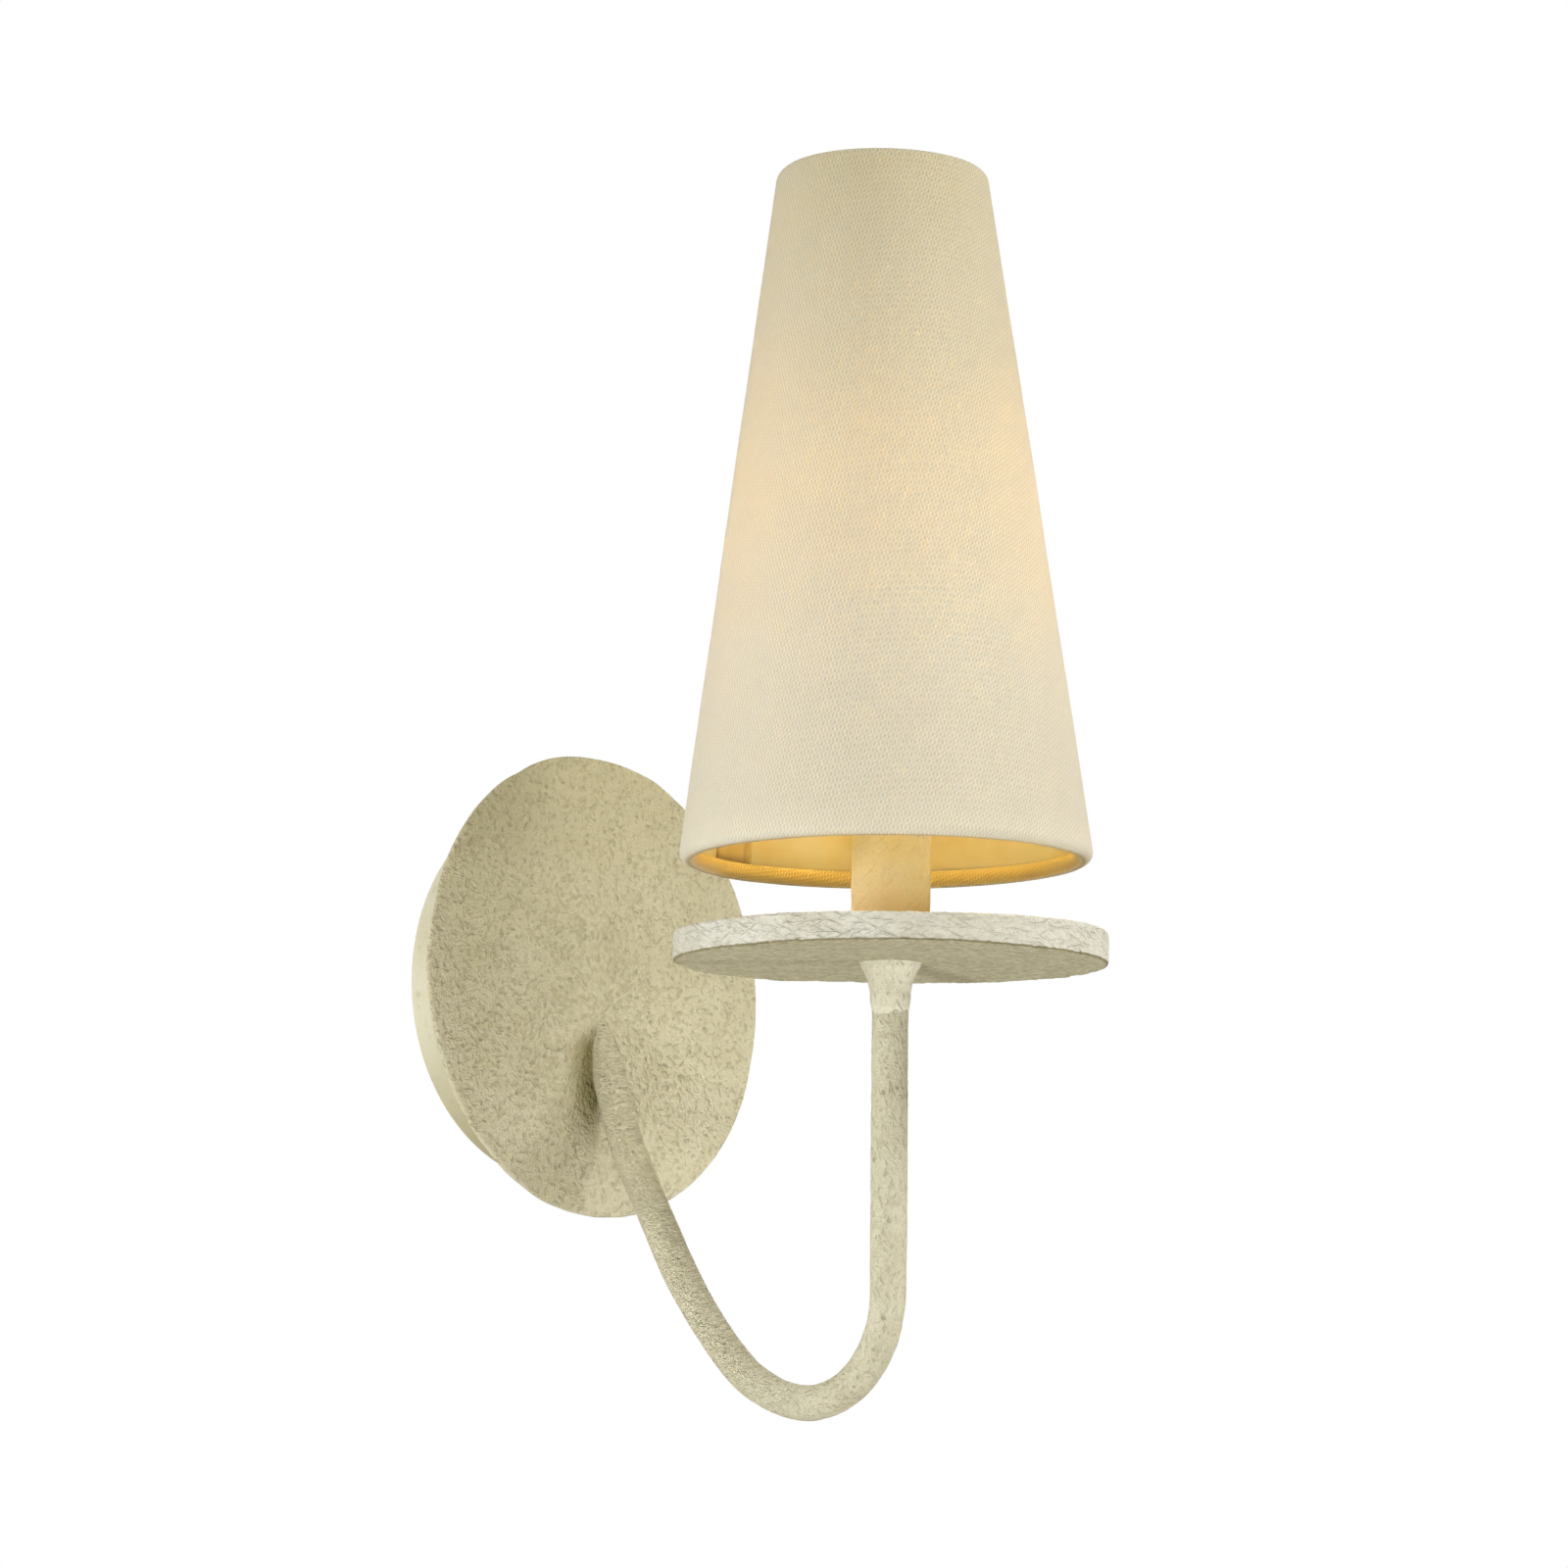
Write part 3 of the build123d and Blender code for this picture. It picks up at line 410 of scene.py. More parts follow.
def srgb(red, green, blue):
    """Linear colour for an 8-bit screen colour."""
    parts = [c / 255 for c in (red, green, blue)]
    return (*[c / 12.92 if c <= 0.04045 else ((c + 0.055) / 1.055) ** 2.4 for c in parts], 1.0)


def new_material(name):
    return Nodes(bpy.data.materials.new(name))


def gesso(name, colours, sizes, specks, tint, marks=None, under=None, shaded=None, shade_by_height=None):
    """Dried gesso: low lumps, short strokes and pits, and a sandy grain; painted shade makes it yellower in
    the strokes and where the mesh is marked.

    Specks and tint say how strongly specks are coloured and how much shade is painted into the strokes, and
    marks makes the strokes. Under has two colours of painted shade for a face that looks down. Shaded,
    painted shade by the distance from the wall, and the painted shade by the height are each a colour and the
    span over which it comes in.
    """
    n = new_material(name)
    light, dark, hollow = (srgb(*colour) for colour in colours)
    lump, depth, grain_depth = (size * MM for size in sizes)
    bent = n.vector("MULTIPLY_ADD", n.drift(0.45 / lump), (0.7 * lump,) * 3, n.place)
    lumps = n.span(n.noise(1.0 / lump, 2.0, bent, 0.65), 0.25, 0.75)
    pits = n.dots(0.30 / lump, 0.16, 0.10)
    pits = n.times(pits, n.span(n.noise(0.16 / lump, 1.0), 0.56, 0.64))
    strokes = marks(n, bent) if marks else n.span(n.noise(0.5 / lump, 1.0, bent), 0.56, 0.84)
    grain = n.noise(2600.0, 3.0, roughness=0.7)
    fine = n.noise(1150.0, 1.0)
    cloud = n.span(n.noise(36.0, 3.0, roughness=0.6), 0.36, 0.66)
    colour = n.blend(cloud, light, dark)
    # Painted shade by the distance from the wall
    if shaded:
        colour = n.blend(n.span(n.part(1), *shaded[1]), colour, srgb(*shaded[0]))
    # Painted shade by the height, with a ragged edge: the plate darker towards its top, the pan and the
    # candle cover lower down
    if shade_by_height:
        ragged = n.plus(n.part(2), n.times(cloud, SHADE_RAGGED))
        colour = n.blend(n.span(ragged, *shade_by_height[1]), colour, srgb(*shade_by_height[0]))
    colour = n.blend(n.span(fine, 0.56, 0.70, 0.0, 0.30 * specks), colour, hollow)
    # Painted shade: yellower in the strokes and where the mesh is marked, in grooves and in the arm's shadow
    shade_amount = n.larger(n.hollow(), n.times(n.span(strokes, 0.15, 0.7), tint))
    colour = n.blend(shade_amount, colour, hollow)
    colour = n.blend(n.times(pits, 0.45 * specks), colour, srgb(*PIT_COLOUR))
    height = n.math("SUBTRACT", n.times(lumps, 0.9), n.times(strokes, 1.2))
    height = n.math("SUBTRACT", height, n.times(pits, 0.8))
    # Painted shade: faces that look down take two darker colours, and the lip along the lower edge the shade
    # colour
    if under:
        facing = n.part(2, n.node("NewGeometry").outputs["Normal"])
        mottled = n.blend(n.span(turning_marks(n), 0.41, 0.59), srgb(*under[0]), srgb(*under[1]))
        colour = n.blend(n.span(facing, -0.35, -0.95), colour, mottled)
        lip = n.times(n.span(facing, -0.25, -0.50), n.span(facing, -0.99, -0.85))
        colour = n.blend(n.times(lip, 0.95), colour, hollow)
    normal = n.bump(grain, grain_depth, below=n.bump(height, depth))
    roughness = n.span(fine, 0.3, 0.7, 0.78, 0.92)
    return n.finish(n.principled(colour, roughness, normal, Specular_IOR_Level=0.25))


def radiating_strokes(n, place):
    """Strokes on the plate that point at the arm's root close to it and every way further out."""
    centre = n.vector("MULTIPLY_ADD", n.place, (1.0, 0.0, 1.0), (0.0, 0.0, -STROKE_AIM_HEIGHT))
    reach = n.vector("LENGTH", centre)
    pull = n.vector("MULTIPLY", centre, n.math("DIVIDE", STROKE_PULL, n.math("POWER", reach, 2.0)))
    spread = (2 * STROKE_STRAY, 0.0, 2 * STROKE_STRAY)
    stray = n.vector("MULTIPLY_ADD", n.drift(90.0), spread, (-STROKE_STRAY, 0.0, -STROKE_STRAY))
    aim = n.vector("NORMALIZE", n.vector("ADD", pull, stray))
    density = n.span(reach, 0.070, 0.015, -0.01, 0.07)
    total = None
    for degrees in range(0, 180, 30):
        turn = math.radians(degrees)
        turned = n.node("VectorRotate", {"rotation_type": "Y_AXIS"}, Vector=place, Angle=turn).outputs[0]
        facing = n.vector("DOT_PRODUCT", aim, (math.cos(turn), 0.0, math.sin(turn)))
        weight = n.span(n.math("ABSOLUTE", facing), 0.76, 0.97)
        field = n.plus(n.noise(1.0, 0.5, n.squeeze(turned, STROKE_SCALE)), density)
        stroke = n.times(n.span(field, 0.54, 0.82), weight)
        total = stroke if total is None else n.larger(total, stroke)
    return total


def twisted_strokes(n, place, courses):
    """Slanting strokes of a stiff brush round the post; a course's share sets how many strokes it has."""
    height = n.part(2)
    total = None
    for slant, size, share in courses:
        turned = n.node("VectorRotate", {"rotation_type": "Z_AXIS"}, Vector=place, Center=tuple(POST))
        n.feed(turned.inputs["Angle"], n.times(height, slant))
        squeezed = n.squeeze(turned.outputs[0], tuple(0.5 / part for part in size))
        stroke = n.span(n.noise(1.0, 0.5, squeezed), 0.60 - share, 0.86 - share)
        total = stroke if total is None else n.larger(total, stroke)
    return total


def turning_marks(n):
    """Faint rings round the post, nearly lost in a sandy mottling."""
    flat = n.vector("MULTIPLY", n.vector("SUBTRACT", n.place, tuple(POST)), (1.0, 1.0, 0.0))
    ring = n.node("CombineXYZ", X=n.times(n.vector("LENGTH", flat), 420.0))
    n.feed(ring.inputs["Y"], n.times(n.part(0, flat), 40.0))
    n.feed(ring.inputs["Z"], n.times(n.part(1, flat), 40.0))
    rings = n.times(n.noise(1.0, 2.0, ring.outputs[0]), 0.15)
    return n.plus(rings, n.times(n.noise(430.0, 3.0, roughness=0.7), 0.85))


def metal(name, colour, dull, roughness):
    """Metal with fine drawing marks and some tarnish."""
    n = new_material(name)
    marks = n.noise(2400.0, 3.0, n.squeeze(n.place, (1.0, 1.0, 6.0)))
    tint = n.blend(n.span(n.noise(160.0, 3.0), 0.42, 0.72, 0.0, 0.35), srgb(*colour), srgb(*dull))
    rough = n.span(marks, 0.3, 0.7, roughness * 0.8, roughness * 1.25)
    return n.finish(n.principled(tint, rough, n.bump(marks, 0.04 * MM, 0.6), Metallic=1.0))


def plastic(name, colour, shade, roughness, depth=0.03 * MM):
    """Moulded plastic, rubber or enamel with a faint grain and flow marks."""
    n = new_material(name)
    texture = n.noise(1800.0, 2.0)
    tint = n.blend(n.span(n.noise(90.0, 3.0), 0.35, 0.7), srgb(*colour), srgb(*shade))
    rough = n.span(texture, 0.3, 0.7, roughness * 0.85, roughness * 1.2)
    return n.finish(n.principled(tint, rough, n.bump(texture, depth)))


def glass(name, colour, roughness, glow, strength):
    """Frosted lamp glass, lit from inside."""
    n = new_material(name)
    cloud = n.noise(220.0, 2.0)
    rough = n.span(cloud, 0.3, 0.7, roughness * 0.85, roughness * 1.15)
    tint = n.blend(n.span(cloud, 0.3, 0.7, 0.0, 0.3), srgb(*colour), srgb(240, 236, 226))
    fixed = {"Transmission_Weight": 0.55, "IOR": 1.5, "Emission_Color": glow, "Emission_Strength": strength}
    return n.finish(n.principled(tint, rough, **fixed))


def linen(name):
    """Cream cloth of slanting ribs crossed by columns of upright floats, which lets some light through."""
    n = new_material(name)
    cloth = n.node("UVMap", {"uv_map": "cloth"}).outputs[0]
    bent = n.vector("MULTIPLY_ADD", n.drift(110.0, 2.0, cloth), (THREAD_WOBBLE,) * 3, cloth)
    ribs, floats, cross_floats = (
        n.math("COSINE", n.vector("DOT_PRODUCT", bent, (2 * math.pi * across, 2 * math.pi * along, 0.0)))
        for across, along in (TWILL_WAVE, FLOAT_WAVE, CROSS_FLOAT_WAVE)
    )
    weave = n.plus(n.times(ribs, 0.16), 0.5)
    weave = n.plus(weave, n.times(n.plus(floats, cross_floats), 0.19))
    yarn = n.noise(900.0, 2.0, n.squeeze(cloth, (1.0, 0.15, 1.0)))
    cross = n.noise(700.0, 2.0, n.squeeze(cloth, (0.15, 1.0, 1.0)))
    slub = n.plus(n.times(yarn, 0.6), n.times(cross, 0.4))
    fuzz = n.noise(2600.0, 2.0, cloth)
    colour = n.blend(n.span(weave, 0.15, 0.85), srgb(222, 214, 192), srgb(250, 246, 235))
    colour = n.blend(n.span(slub, 0.40, 0.62, 0.25, 0.0), colour, srgb(226, 217, 194))
    # Painted shade: darker and yellower towards the top of the shade, in patches
    patches = n.span(n.noise(14.0, 2.0), 0.35, 0.65, 0.75, 1.0)
    top_shade = n.times(n.span(n.part(2), 0.10, 0.27), patches)
    colour = n.blend(top_shade, colour, (0.88, 0.85, 0.73, 1.0), "MULTIPLY")
    turned_in = n.hollow()
    # Painted shade along the foot hem's underside, and painted lamp light, golden, on the cloth turned inside
    hem_shade = n.times(n.span(turned_in, 0.10, 0.45), n.span(turned_in, 0.85, 0.55))
    colour = n.blend(hem_shade, colour, (0.60, 0.55, 0.38, 1.0), "MULTIPLY")
    colour = n.blend(n.span(turned_in, 0.55, 0.95), colour, (0.98, 0.85, 0.50, 1.0), "MULTIPLY")
    calm = n.span(n.part(2), 0.036, 0.046, 0.45, 1.0)
    height = n.times(n.plus(weave, n.times(slub, 0.4)), calm)
    normal = n.bump(fuzz, 0.06 * MM, below=n.bump(height, WEAVE_DEPTH))
    body = n.principled(colour, 0.9, normal, Specular_IOR_Level=0.2, Sheen_Weight=0.35, Sheen_Roughness=0.45)
    through = n.node("BsdfTranslucent", Color=colour, Normal=normal).outputs[0]
    return n.finish(n.mix_shaders(CLOTH_THROUGH, body, through))


def styrene(name, colour, dull, through_share):
    """Backing sheet, a little cloudy, with painted shade, darker and browner, where the mesh is marked."""
    n = new_material(name)
    tint = n.blend(n.span(n.noise(70.0, 3.0), 0.3, 0.7), srgb(*colour), srgb(*dull))
    # Painted shade where the mesh is marked
    tint = n.blend(n.times(n.hollow(), 0.5), tint, srgb(164, 124, 60))
    body = n.principled(tint, 0.6, n.bump(n.noise(1400.0, 2.0), 0.03 * MM), Specular_IOR_Level=0.3)
    through = n.node("BsdfTranslucent", Color=tint).outputs[0]
    return n.finish(n.mix_shaders(through_share, body, through))


def glowing(name, colour, strength):
    """Hot tungsten."""
    n = new_material(name)
    coil = n.node("TexWave", {"wave_type": "BANDS"}, Vector=n.place, Scale=900.0)
    tint = n.blend(coil.outputs["Fac"], srgb(*colour), srgb(255, 190, 110))
    fixed = {"Metallic": 1.0, "Emission_Color": srgb(*colour), "Emission_Strength": strength}
    return n.finish(n.principled(tint, 0.5, **fixed))


# One material for each of the model's slots
PIT_COLOUR = (112, 100, 70)
# Painted shade: raggedness of its edge, then a colour and the span it comes in over, by the distance from the
# wall for the arm and by the height for the cover, the plate and the pan
SHADE_RAGGED = 6.0 * MM
ARM_SHADE = ((212, 205, 176), (-120 * MM, -45 * MM))
COVER_LOW_SHADE = ((214, 190, 140), (30 * MM, 17 * MM))
PLATE_TOP_SHADE = ((192, 183, 149), (-40 * MM, 90 * MM))
PAN_LOW_SHADE = ((172, 164, 132), (-10 * MM, -55 * MM))
# Painted shade on the disc's underside: two colours for its mottling
DISC_UNDER_SHADE = ((202, 196, 170), (170, 162, 132))
STEM_GLOW = srgb(255, 206, 140)
LAMP_GLOW = (1.0, 0.78, 0.26, 1.0)

# Colour, tarnished colour and roughness
METALS = {
    "zinc_steel": ((190, 192, 190), (142, 140, 128), 0.34),
    "threaded_steel": ((176, 176, 170), (120, 112, 96), 0.38),
    "ring_steel": ((168, 166, 158), (120, 110, 92), 0.42),
    "clip_steel": ((196, 190, 172), (150, 136, 104), 0.32),
    "rivet_brass": ((206, 172, 104), (150, 116, 62), 0.34),
    "shell_brass": ((212, 180, 110), (158, 124, 66), 0.30),
    "earth_copper": ((196, 122, 84), (130, 78, 54), 0.38),
    "earth_green": ((92, 148, 96), (62, 104, 66), 0.36),
    "base_solder": ((180, 182, 184), (130, 130, 130), 0.42),
    "support_wire": ((170, 168, 164), (120, 116, 110), 0.40),
}

# Colour, colour of the flow marks and roughness, and a grain's depth where it isn't the usual one
PLASTICS = {
    "painted_screws": ((224, 219, 198), (206, 199, 172), 0.72, 0.08 * MM),
    "bushing_nylon": ((226, 222, 208), (206, 200, 184), 0.45),
    "socket_phenolic": ((44, 36, 32), (30, 25, 23), 0.42),
    "lead_black": ((30, 30, 32), (44, 44, 46), 0.55),
    "lead_white": ((226, 224, 216), (206, 203, 194), 0.5),
    "connector_plastic": ((208, 120, 52), (184, 100, 40), 0.48, 0.12 * MM),
    "base_black_glass": ((24, 22, 26), (36, 32, 38), 0.18),
}

# Light and dark colour and the colour of specks and painted shade, millimetres of lump, depth and grain
# depth, strength of specks and of the shade painted into strokes
GESSO = {
    "pan_gesso": (((210, 206, 186), (198, 193, 168), (150, 140, 98)), (2.4, 0.14, 0.06), 0.4, 0.20),
    "plate_gesso": (((214, 207, 180), (205, 197, 168), (132, 122, 68)), (1.05, 0.70, 0.08), 0.4, 0.26),
    "arm_gesso": (((209, 204, 183), (197, 191, 166), (150, 134, 92)), (1.1, 0.46, 0.12), 1.0, 0.22),
    "collar_gesso": (((234, 230, 213), (224, 219, 199), (158, 148, 106)), (1.3, 0.40, 0.12), 0.7, 0.25),
    "disc_gesso": (((220, 217, 206), (211, 207, 192), (138, 130, 96)), (1.3, 0.62, 0.08), 0.4, 0.12),
    "cover_gesso": (((246, 243, 230), (236, 228, 202), (190, 160, 100)), (1.6, 0.14, 0.08), 0.5, 0.20),
}
arm_strokes = partial(twisted_strokes, courses=ARM_COURSES)
disc_strokes = partial(twisted_strokes, courses=DISC_COURSES)
cover_strokes = partial(twisted_strokes, courses=COVER_COURSES)
GESSO_EXTRAS = {
    "pan_gesso": {"shade_by_height": PAN_LOW_SHADE},
    "plate_gesso": {"marks": radiating_strokes, "shade_by_height": PLATE_TOP_SHADE},
    "arm_gesso": {"marks": arm_strokes, "shaded": ARM_SHADE},
    "collar_gesso": {"marks": arm_strokes},
    "disc_gesso": {"marks": disc_strokes, "under": DISC_UNDER_SHADE},
    "cover_gesso": {"marks": cover_strokes, "shade_by_height": COVER_LOW_SHADE},
}

materials = {name: metal(name, *look) for name, look in METALS.items()}
materials.update({name: plastic(name, *look) for name, look in PLASTICS.items()})
materials.update({name: gesso(name, *look, **GESSO_EXTRAS[name]) for name, look in GESSO.items()})
materials["bulb_glass"] = glass("bulb_glass", (252, 248, 238), 0.35, LAMP_GLOW, 9.8)
materials["stem_glass"] = glass("stem_glass", (244, 244, 240), 0.15, STEM_GLOW, 0.2)
materials["filament_wire"] = glowing("filament_wire", (255, 214, 150), 20.0)
materials["shade_linen"] = linen("shade_linen")
materials["shade_styrene"] = styrene("shade_styrene", (249, 243, 225), (240, 229, 198), 0.5)
materials["seam_tape"] = styrene("seam_tape", (238, 224, 186), (226, 206, 158), 0.35)
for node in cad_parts.values():
    for index, old in enumerate(node.data.materials):
        node.data.materials[index] = materials[old.name.split(".")[0]]


# Arm: its centre line and radius from the nose to the post
def arm_line(spacing):
    """Centre points, as (depth, height), and radii, from the nose tip to the drip disc's underside."""
    turn = math.radians(NOSE_ANGLE)
    root_radius, root_turn = ROOT_BEND
    seat = np.array([ROOT_DEPTH, ROOT_HEIGHT])
    seat = seat + root_radius * np.array([1 - math.cos(turn), -math.sin(turn)])
    tip = np.array([NOSE_TIP_RISE - NOSE_TIP_RADIUS - PLATE_FRONT, NOSE_TIP_HEIGHT])
    nose = np.linspace(0, 1, round(np.linalg.norm(seat - tip) / spacing), endpoint=False)
    places = [tip + (seat - tip) * part for part in nose]
    radii = [NOSE_TIP_RADIUS + (ROD_RADIUS - NOSE_TIP_RADIUS) * part**0.65 for part in nose]
    hook = (HOOK_BEND_RADIUS, 180 - root_turn - REACH_BEND[1] - LOWER_BEND[1])
    bends = [(root_radius, root_turn - NOSE_ANGLE), (0, 0), REACH_BEND, LOWER_BEND, hook]
    at = seat
    for radius, degrees in bends:
        length = radius * math.radians(degrees) if radius else SLOPE_LENGTH
        count = round(length / spacing)
        step_turn = math.radians(degrees) / count
        chord = 2 * radius * math.sin(step_turn / 2) if radius else length / count
        for _ in range(count):
            places.append(at)
            middle = turn + step_turn / 2
            at = at + chord * np.array([math.sin(middle), -math.cos(middle)])
            turn += step_turn
    rise = disc_low.z - at[1]
    places += [at + np.array([0, rise * part]) for part in np.linspace(0, 1, round(rise / spacing))]
    radii += [ROD_RADIUS] * (len(places) - len(radii))
    return np.array(places), np.array(radii)


LINE_SPACING = 1.0 * MM
ROOT_POINTS = 70
line, line_radius = arm_line(LINE_SPACING)
line_points = np.column_stack([np.zeros(len(line)), -line[:, 0], line[:, 1]])


def rod_distance(points):
    """Distance from the arm's surface near its root, less than 0 inside it."""
    near = line_points[:ROOT_POINTS]
    radius = line_radius[:ROOT_POINTS]
    gaps = np.linalg.norm(points[:, None, :] - near[None], axis=2) - radius
    return gaps.min(axis=1)


def fillet_rise(points, reach):
    """How far the gesso rises from the plate's front where it runs up to the arm."""
    low = np.zeros(len(points))
    high = reach.copy()
    for _ in range(14):
        rise = (low + high) / 2
        at = points.copy()
        at[:, 1] -= rise
        rod = rod_distance(at)
        join = np.maximum(reach - np.abs(rise - rod), 0) / reach
        inside = np.minimum(rise, rod) - join**2 * reach / 4 < 0
        low = np.where(inside, rise, low)
        high = np.where(inside, high, rise)
    return (low + high) / 2


def plate_rim(columns):
    """Middle of the wire hole, the ways out from it, and how far the plate's edge lies each way."""
    angle = np.linspace(0, 2 * math.pi, columns, endpoint=False)
    way = np.column_stack([np.cos(angle), np.sin(angle)])
    hole = np.array([0, bushing_low.z + bushing_high.z]) / 2
    tilt = math.radians(PLATE_LONG_ANGLE)
    to_axes = np.array([[math.cos(tilt), math.sin(tilt)], [-math.sin(tilt), math.cos(tilt)]])
    scale = np.array([1 / PLATE_LONG_RADIUS, 1 / PLATE_SHORT_RADIUS])
    start = (to_axes @ hole) * scale
    slope = (way @ to_axes.T) * scale
    a = (slope**2).sum(1)
    b = slope @ start
    rim = (-b + np.sqrt(b**2 - a * (start @ start - 1))) / a
    edge = np.column_stack([hole[0] + way[:, 0] * rim, np.zeros(columns), hole[1] + way[:, 1] * rim])
    rim += PLATE_EDGE_WANDER * layered_noise(edge, 26 * MM, 11) + 0.1 * MM
    from_nick = np.hypot(edge[:, 0] - PLATE_NICK[0], edge[:, 2] - PLATE_NICK[1])
    rim -= PLATE_NICK_DEPTH * np.exp(-((from_nick / PLATE_NICK_WIDTH) ** 2))
    return hole, way, rim


def front_plate_piece():
    """Front plate: hand-cut and a little wavy, its gesso ridged, with a fillet round the arm's root."""
    columns = 640
    face_rows = 160
    hole, way, rim = plate_rim(columns)
    inner_rim = rim - PLATE_EDGE_ROUND
    depth = PLATE_BACK - PLATE_FRONT
    rows = []
    for part in np.linspace(0, 1, face_rows):
        rows.append((WIRE_LIP_RADIUS + (inner_rim - WIRE_LIP_RADIUS) * part, 0.0))
    for turn in np.radians([25, 50, 75, 90]):
        rows.append((inner_rim + PLATE_EDGE_ROUND * math.sin(turn), PLATE_EDGE_ROUND * (1 - math.cos(turn))))
    front_rows = len(rows)
    for turn in np.radians([0, 30, 60, 90]):
        sunk = depth - PLATE_EDGE_ROUND * (1 - math.sin(turn))
        rows.append((inner_rim + PLATE_EDGE_ROUND * math.cos(turn), sunk))
    for part in np.linspace(1, 0, 14)[1:]:
        rows.append((WIRE_HOLE_RADIUS + (inner_rim - WIRE_HOLE_RADIUS) * part, depth))
    rows += [(WIRE_HOLE_RADIUS, -0.03 * MM), (WIRE_LIP_RADIUS, -0.03 * MM)]
    rings = np.zeros((len(rows), columns, 3))
    for row, (reach, back) in enumerate(rows):
        rings[row, :, 0] = hole[0] + way[:, 0] * reach
        rings[row, :, 1] = PLATE_FRONT + back
        rings[row, :, 2] = hole[1] + way[:, 1] * reach
    flat = rings.reshape(-1, 3)
    front = np.arange(len(rows))[:, None].repeat(columns, 1).ravel() < front_rows
    from_roughest = np.hypot(flat[:, 0] - PLATE_ROUGHEST[0], flat[:, 2] - PLATE_ROUGHEST[1])
    strength = 0.40 + 0.60 * np.exp(-((from_roughest / PLATE_ROUGH_REACH) ** 2))
    worms, groove = gesso_relief(flat, PLATE_LUMP, 21)
    relief = PLATE_RELIEF * worms * strength + PLATE_WAVE_HEIGHT * layered_noise(flat, PLATE_WAVE_SIZE, 31)
    from_hole = np.hypot(flat[:, 0] - hole[0], flat[:, 2] - hole[1])
    lip = WIRE_LIP_RISE * smooth_step(12 * MM, 8 * MM, from_hole)
    outside = smooth_step(7 * MM, 11 * MM, from_hole)
    back = -0.10 * MM * value_noise(flat, 8 * MM, 43) * outside
    flat[:, 1] -= np.where(front, relief * outside + PLATE_COAT + lip, back)
    near = rod_distance(flat)
    # Painted shadow of the arm, on the plate left of and below its root
    beside = smooth_step(3 * MM, -2 * MM, flat[:, 0]) * smooth_step(-14 * MM, -24 * MM, flat[:, 2])
    arm_shadow = 0.85 * smooth_step(13 * MM, 0.5 * MM, near) * beside
    root = front & (np.abs(flat[:, 0]) < 22 * MM) & (flat[:, 2] > -62 * MM) & (flat[:, 2] < 6 * MM)
    reach = FILLET_REACH + FILLET_EXTRA * smooth_step(-1.5 * MM, 5 * MM, flat[root, 0])
    flat[root, 1] -= fillet_rise(flat[root], reach)
    faces = ring_faces(len(rows), columns, True)
    # Painted shade in the grooves, and the arm's painted shadow
    painted_shading = np.maximum(0.18 * groove * strength, arm_shadow) * front
    return add_piece("front_plate_gesso", flat, faces, "root", "plate_gesso", "front_plate", painted_shading)


def arm_piece():
    """The arm's gesso skin, a little uneven along its length."""
    columns = 56
    tangent = np.gradient(line_points, axis=0)
    tangent /= np.linalg.norm(tangent, axis=1)[:, None]
    side = np.array([1.0, 0, 0])
    out = np.cross(tangent, side)
    angle = np.linspace(0, 2 * math.pi, columns, endpoint=False)
    around = np.cos(angle)[None, :, None] * side + np.sin(angle)[None, :, None] * out[:, None, :]
    rings = line_points[:, None, :] + around * line_radius[:, None, None]
    flat = rings.reshape(-1, 3)
    worms, groove = gesso_relief(flat, 1.2 * MM, 61)
    lift = 0.12 * MM * layered_noise(flat, 7 * MM, 51) + 0.08 * MM * worms
    lift -= ARM_COAT_SUNK + ARM_HOOK_SUNK * smooth_step(-100 * MM, -130 * MM, flat[:, 2])
    flat = flat + around.reshape(-1, 3) * lift[:, None]
    faces = ring_faces(len(rings), columns, False)
    # The grooves are marked for painted shade
    return add_piece("arm_gesso_skin", flat, faces, "root", "arm_gesso", "arm_tube", 0.25 * groove)


def turned_piece(name, profile, columns, slot, node, relief, raised=None):
    """A skin turned round the post and moved along its normals by relief, which also tells where shade is
    painted.
    """
    rings = turned_rings(profile, columns)
    normals = ring_normals(rings).reshape(-1, 3)
    flat = rings.reshape(-1, 3)
    lift, painted_shading = relief(flat)
    if raised:
        flat[:, 2] += raised(flat)
    flat = flat + normals * lift[:, None]
    return add_piece(name, flat, ring_faces(len(rings), columns, True), "root", slot, node, painted_shading)


def collar_piece():
    """Flare between the post and the drip disc, feathered into both."""
    top = Vector((collar_high.x, disc_low.z))
    foot = Vector((COLLAR_FOOT_RADIUS, collar_low.z))
    middle = (top + foot) / 2
    across = Vector((top.y - foot.y, foot.x - top.x)).normalized()
    offset = math.sqrt(COLLAR_FLARE_RADIUS**2 - (foot - top).length_squared / 4)
    centre = middle + across * offset
    if centre.x < middle.x:
        centre = middle - across * offset
    start = math.degrees(math.atan2(top.y - centre.y, top.x - centre.x))
    end = math.degrees(math.atan2(foot.y - centre.y, foot.x - centre.x))
    flare = arc_profile(centre, COLLAR_FLARE_RADIUS, start % 360, end % 360, 16)
    hole = NIPPLE_HOLE_RADIUS
    profile = [(hole, 0.2 * MM), (12.0 * MM, 0.3 * MM), (10.9 * MM, -0.5 * MM), (10.3 * MM, -1.5 * MM)]
    profile += flare[2:]
    profile += [(6.6 * MM, -15.5 * MM), (6.2 * MM, -18.5 * MM), (hole, -18.5 * MM)]
    profile += [(hole, -12.0 * MM), (hole, -6.0 * MM)]

    def relief(points):
        worms, groove = gesso_relief(points, 1.4 * MM, 73)
        return 0.18 * MM * layered_noise(points, 5 * MM, 71) + 0.10 * MM * worms, 0.25 * groove

    return turned_piece("post_collar_gesso", profile[::-1], 72, "collar_gesso", "post_collar", relief)


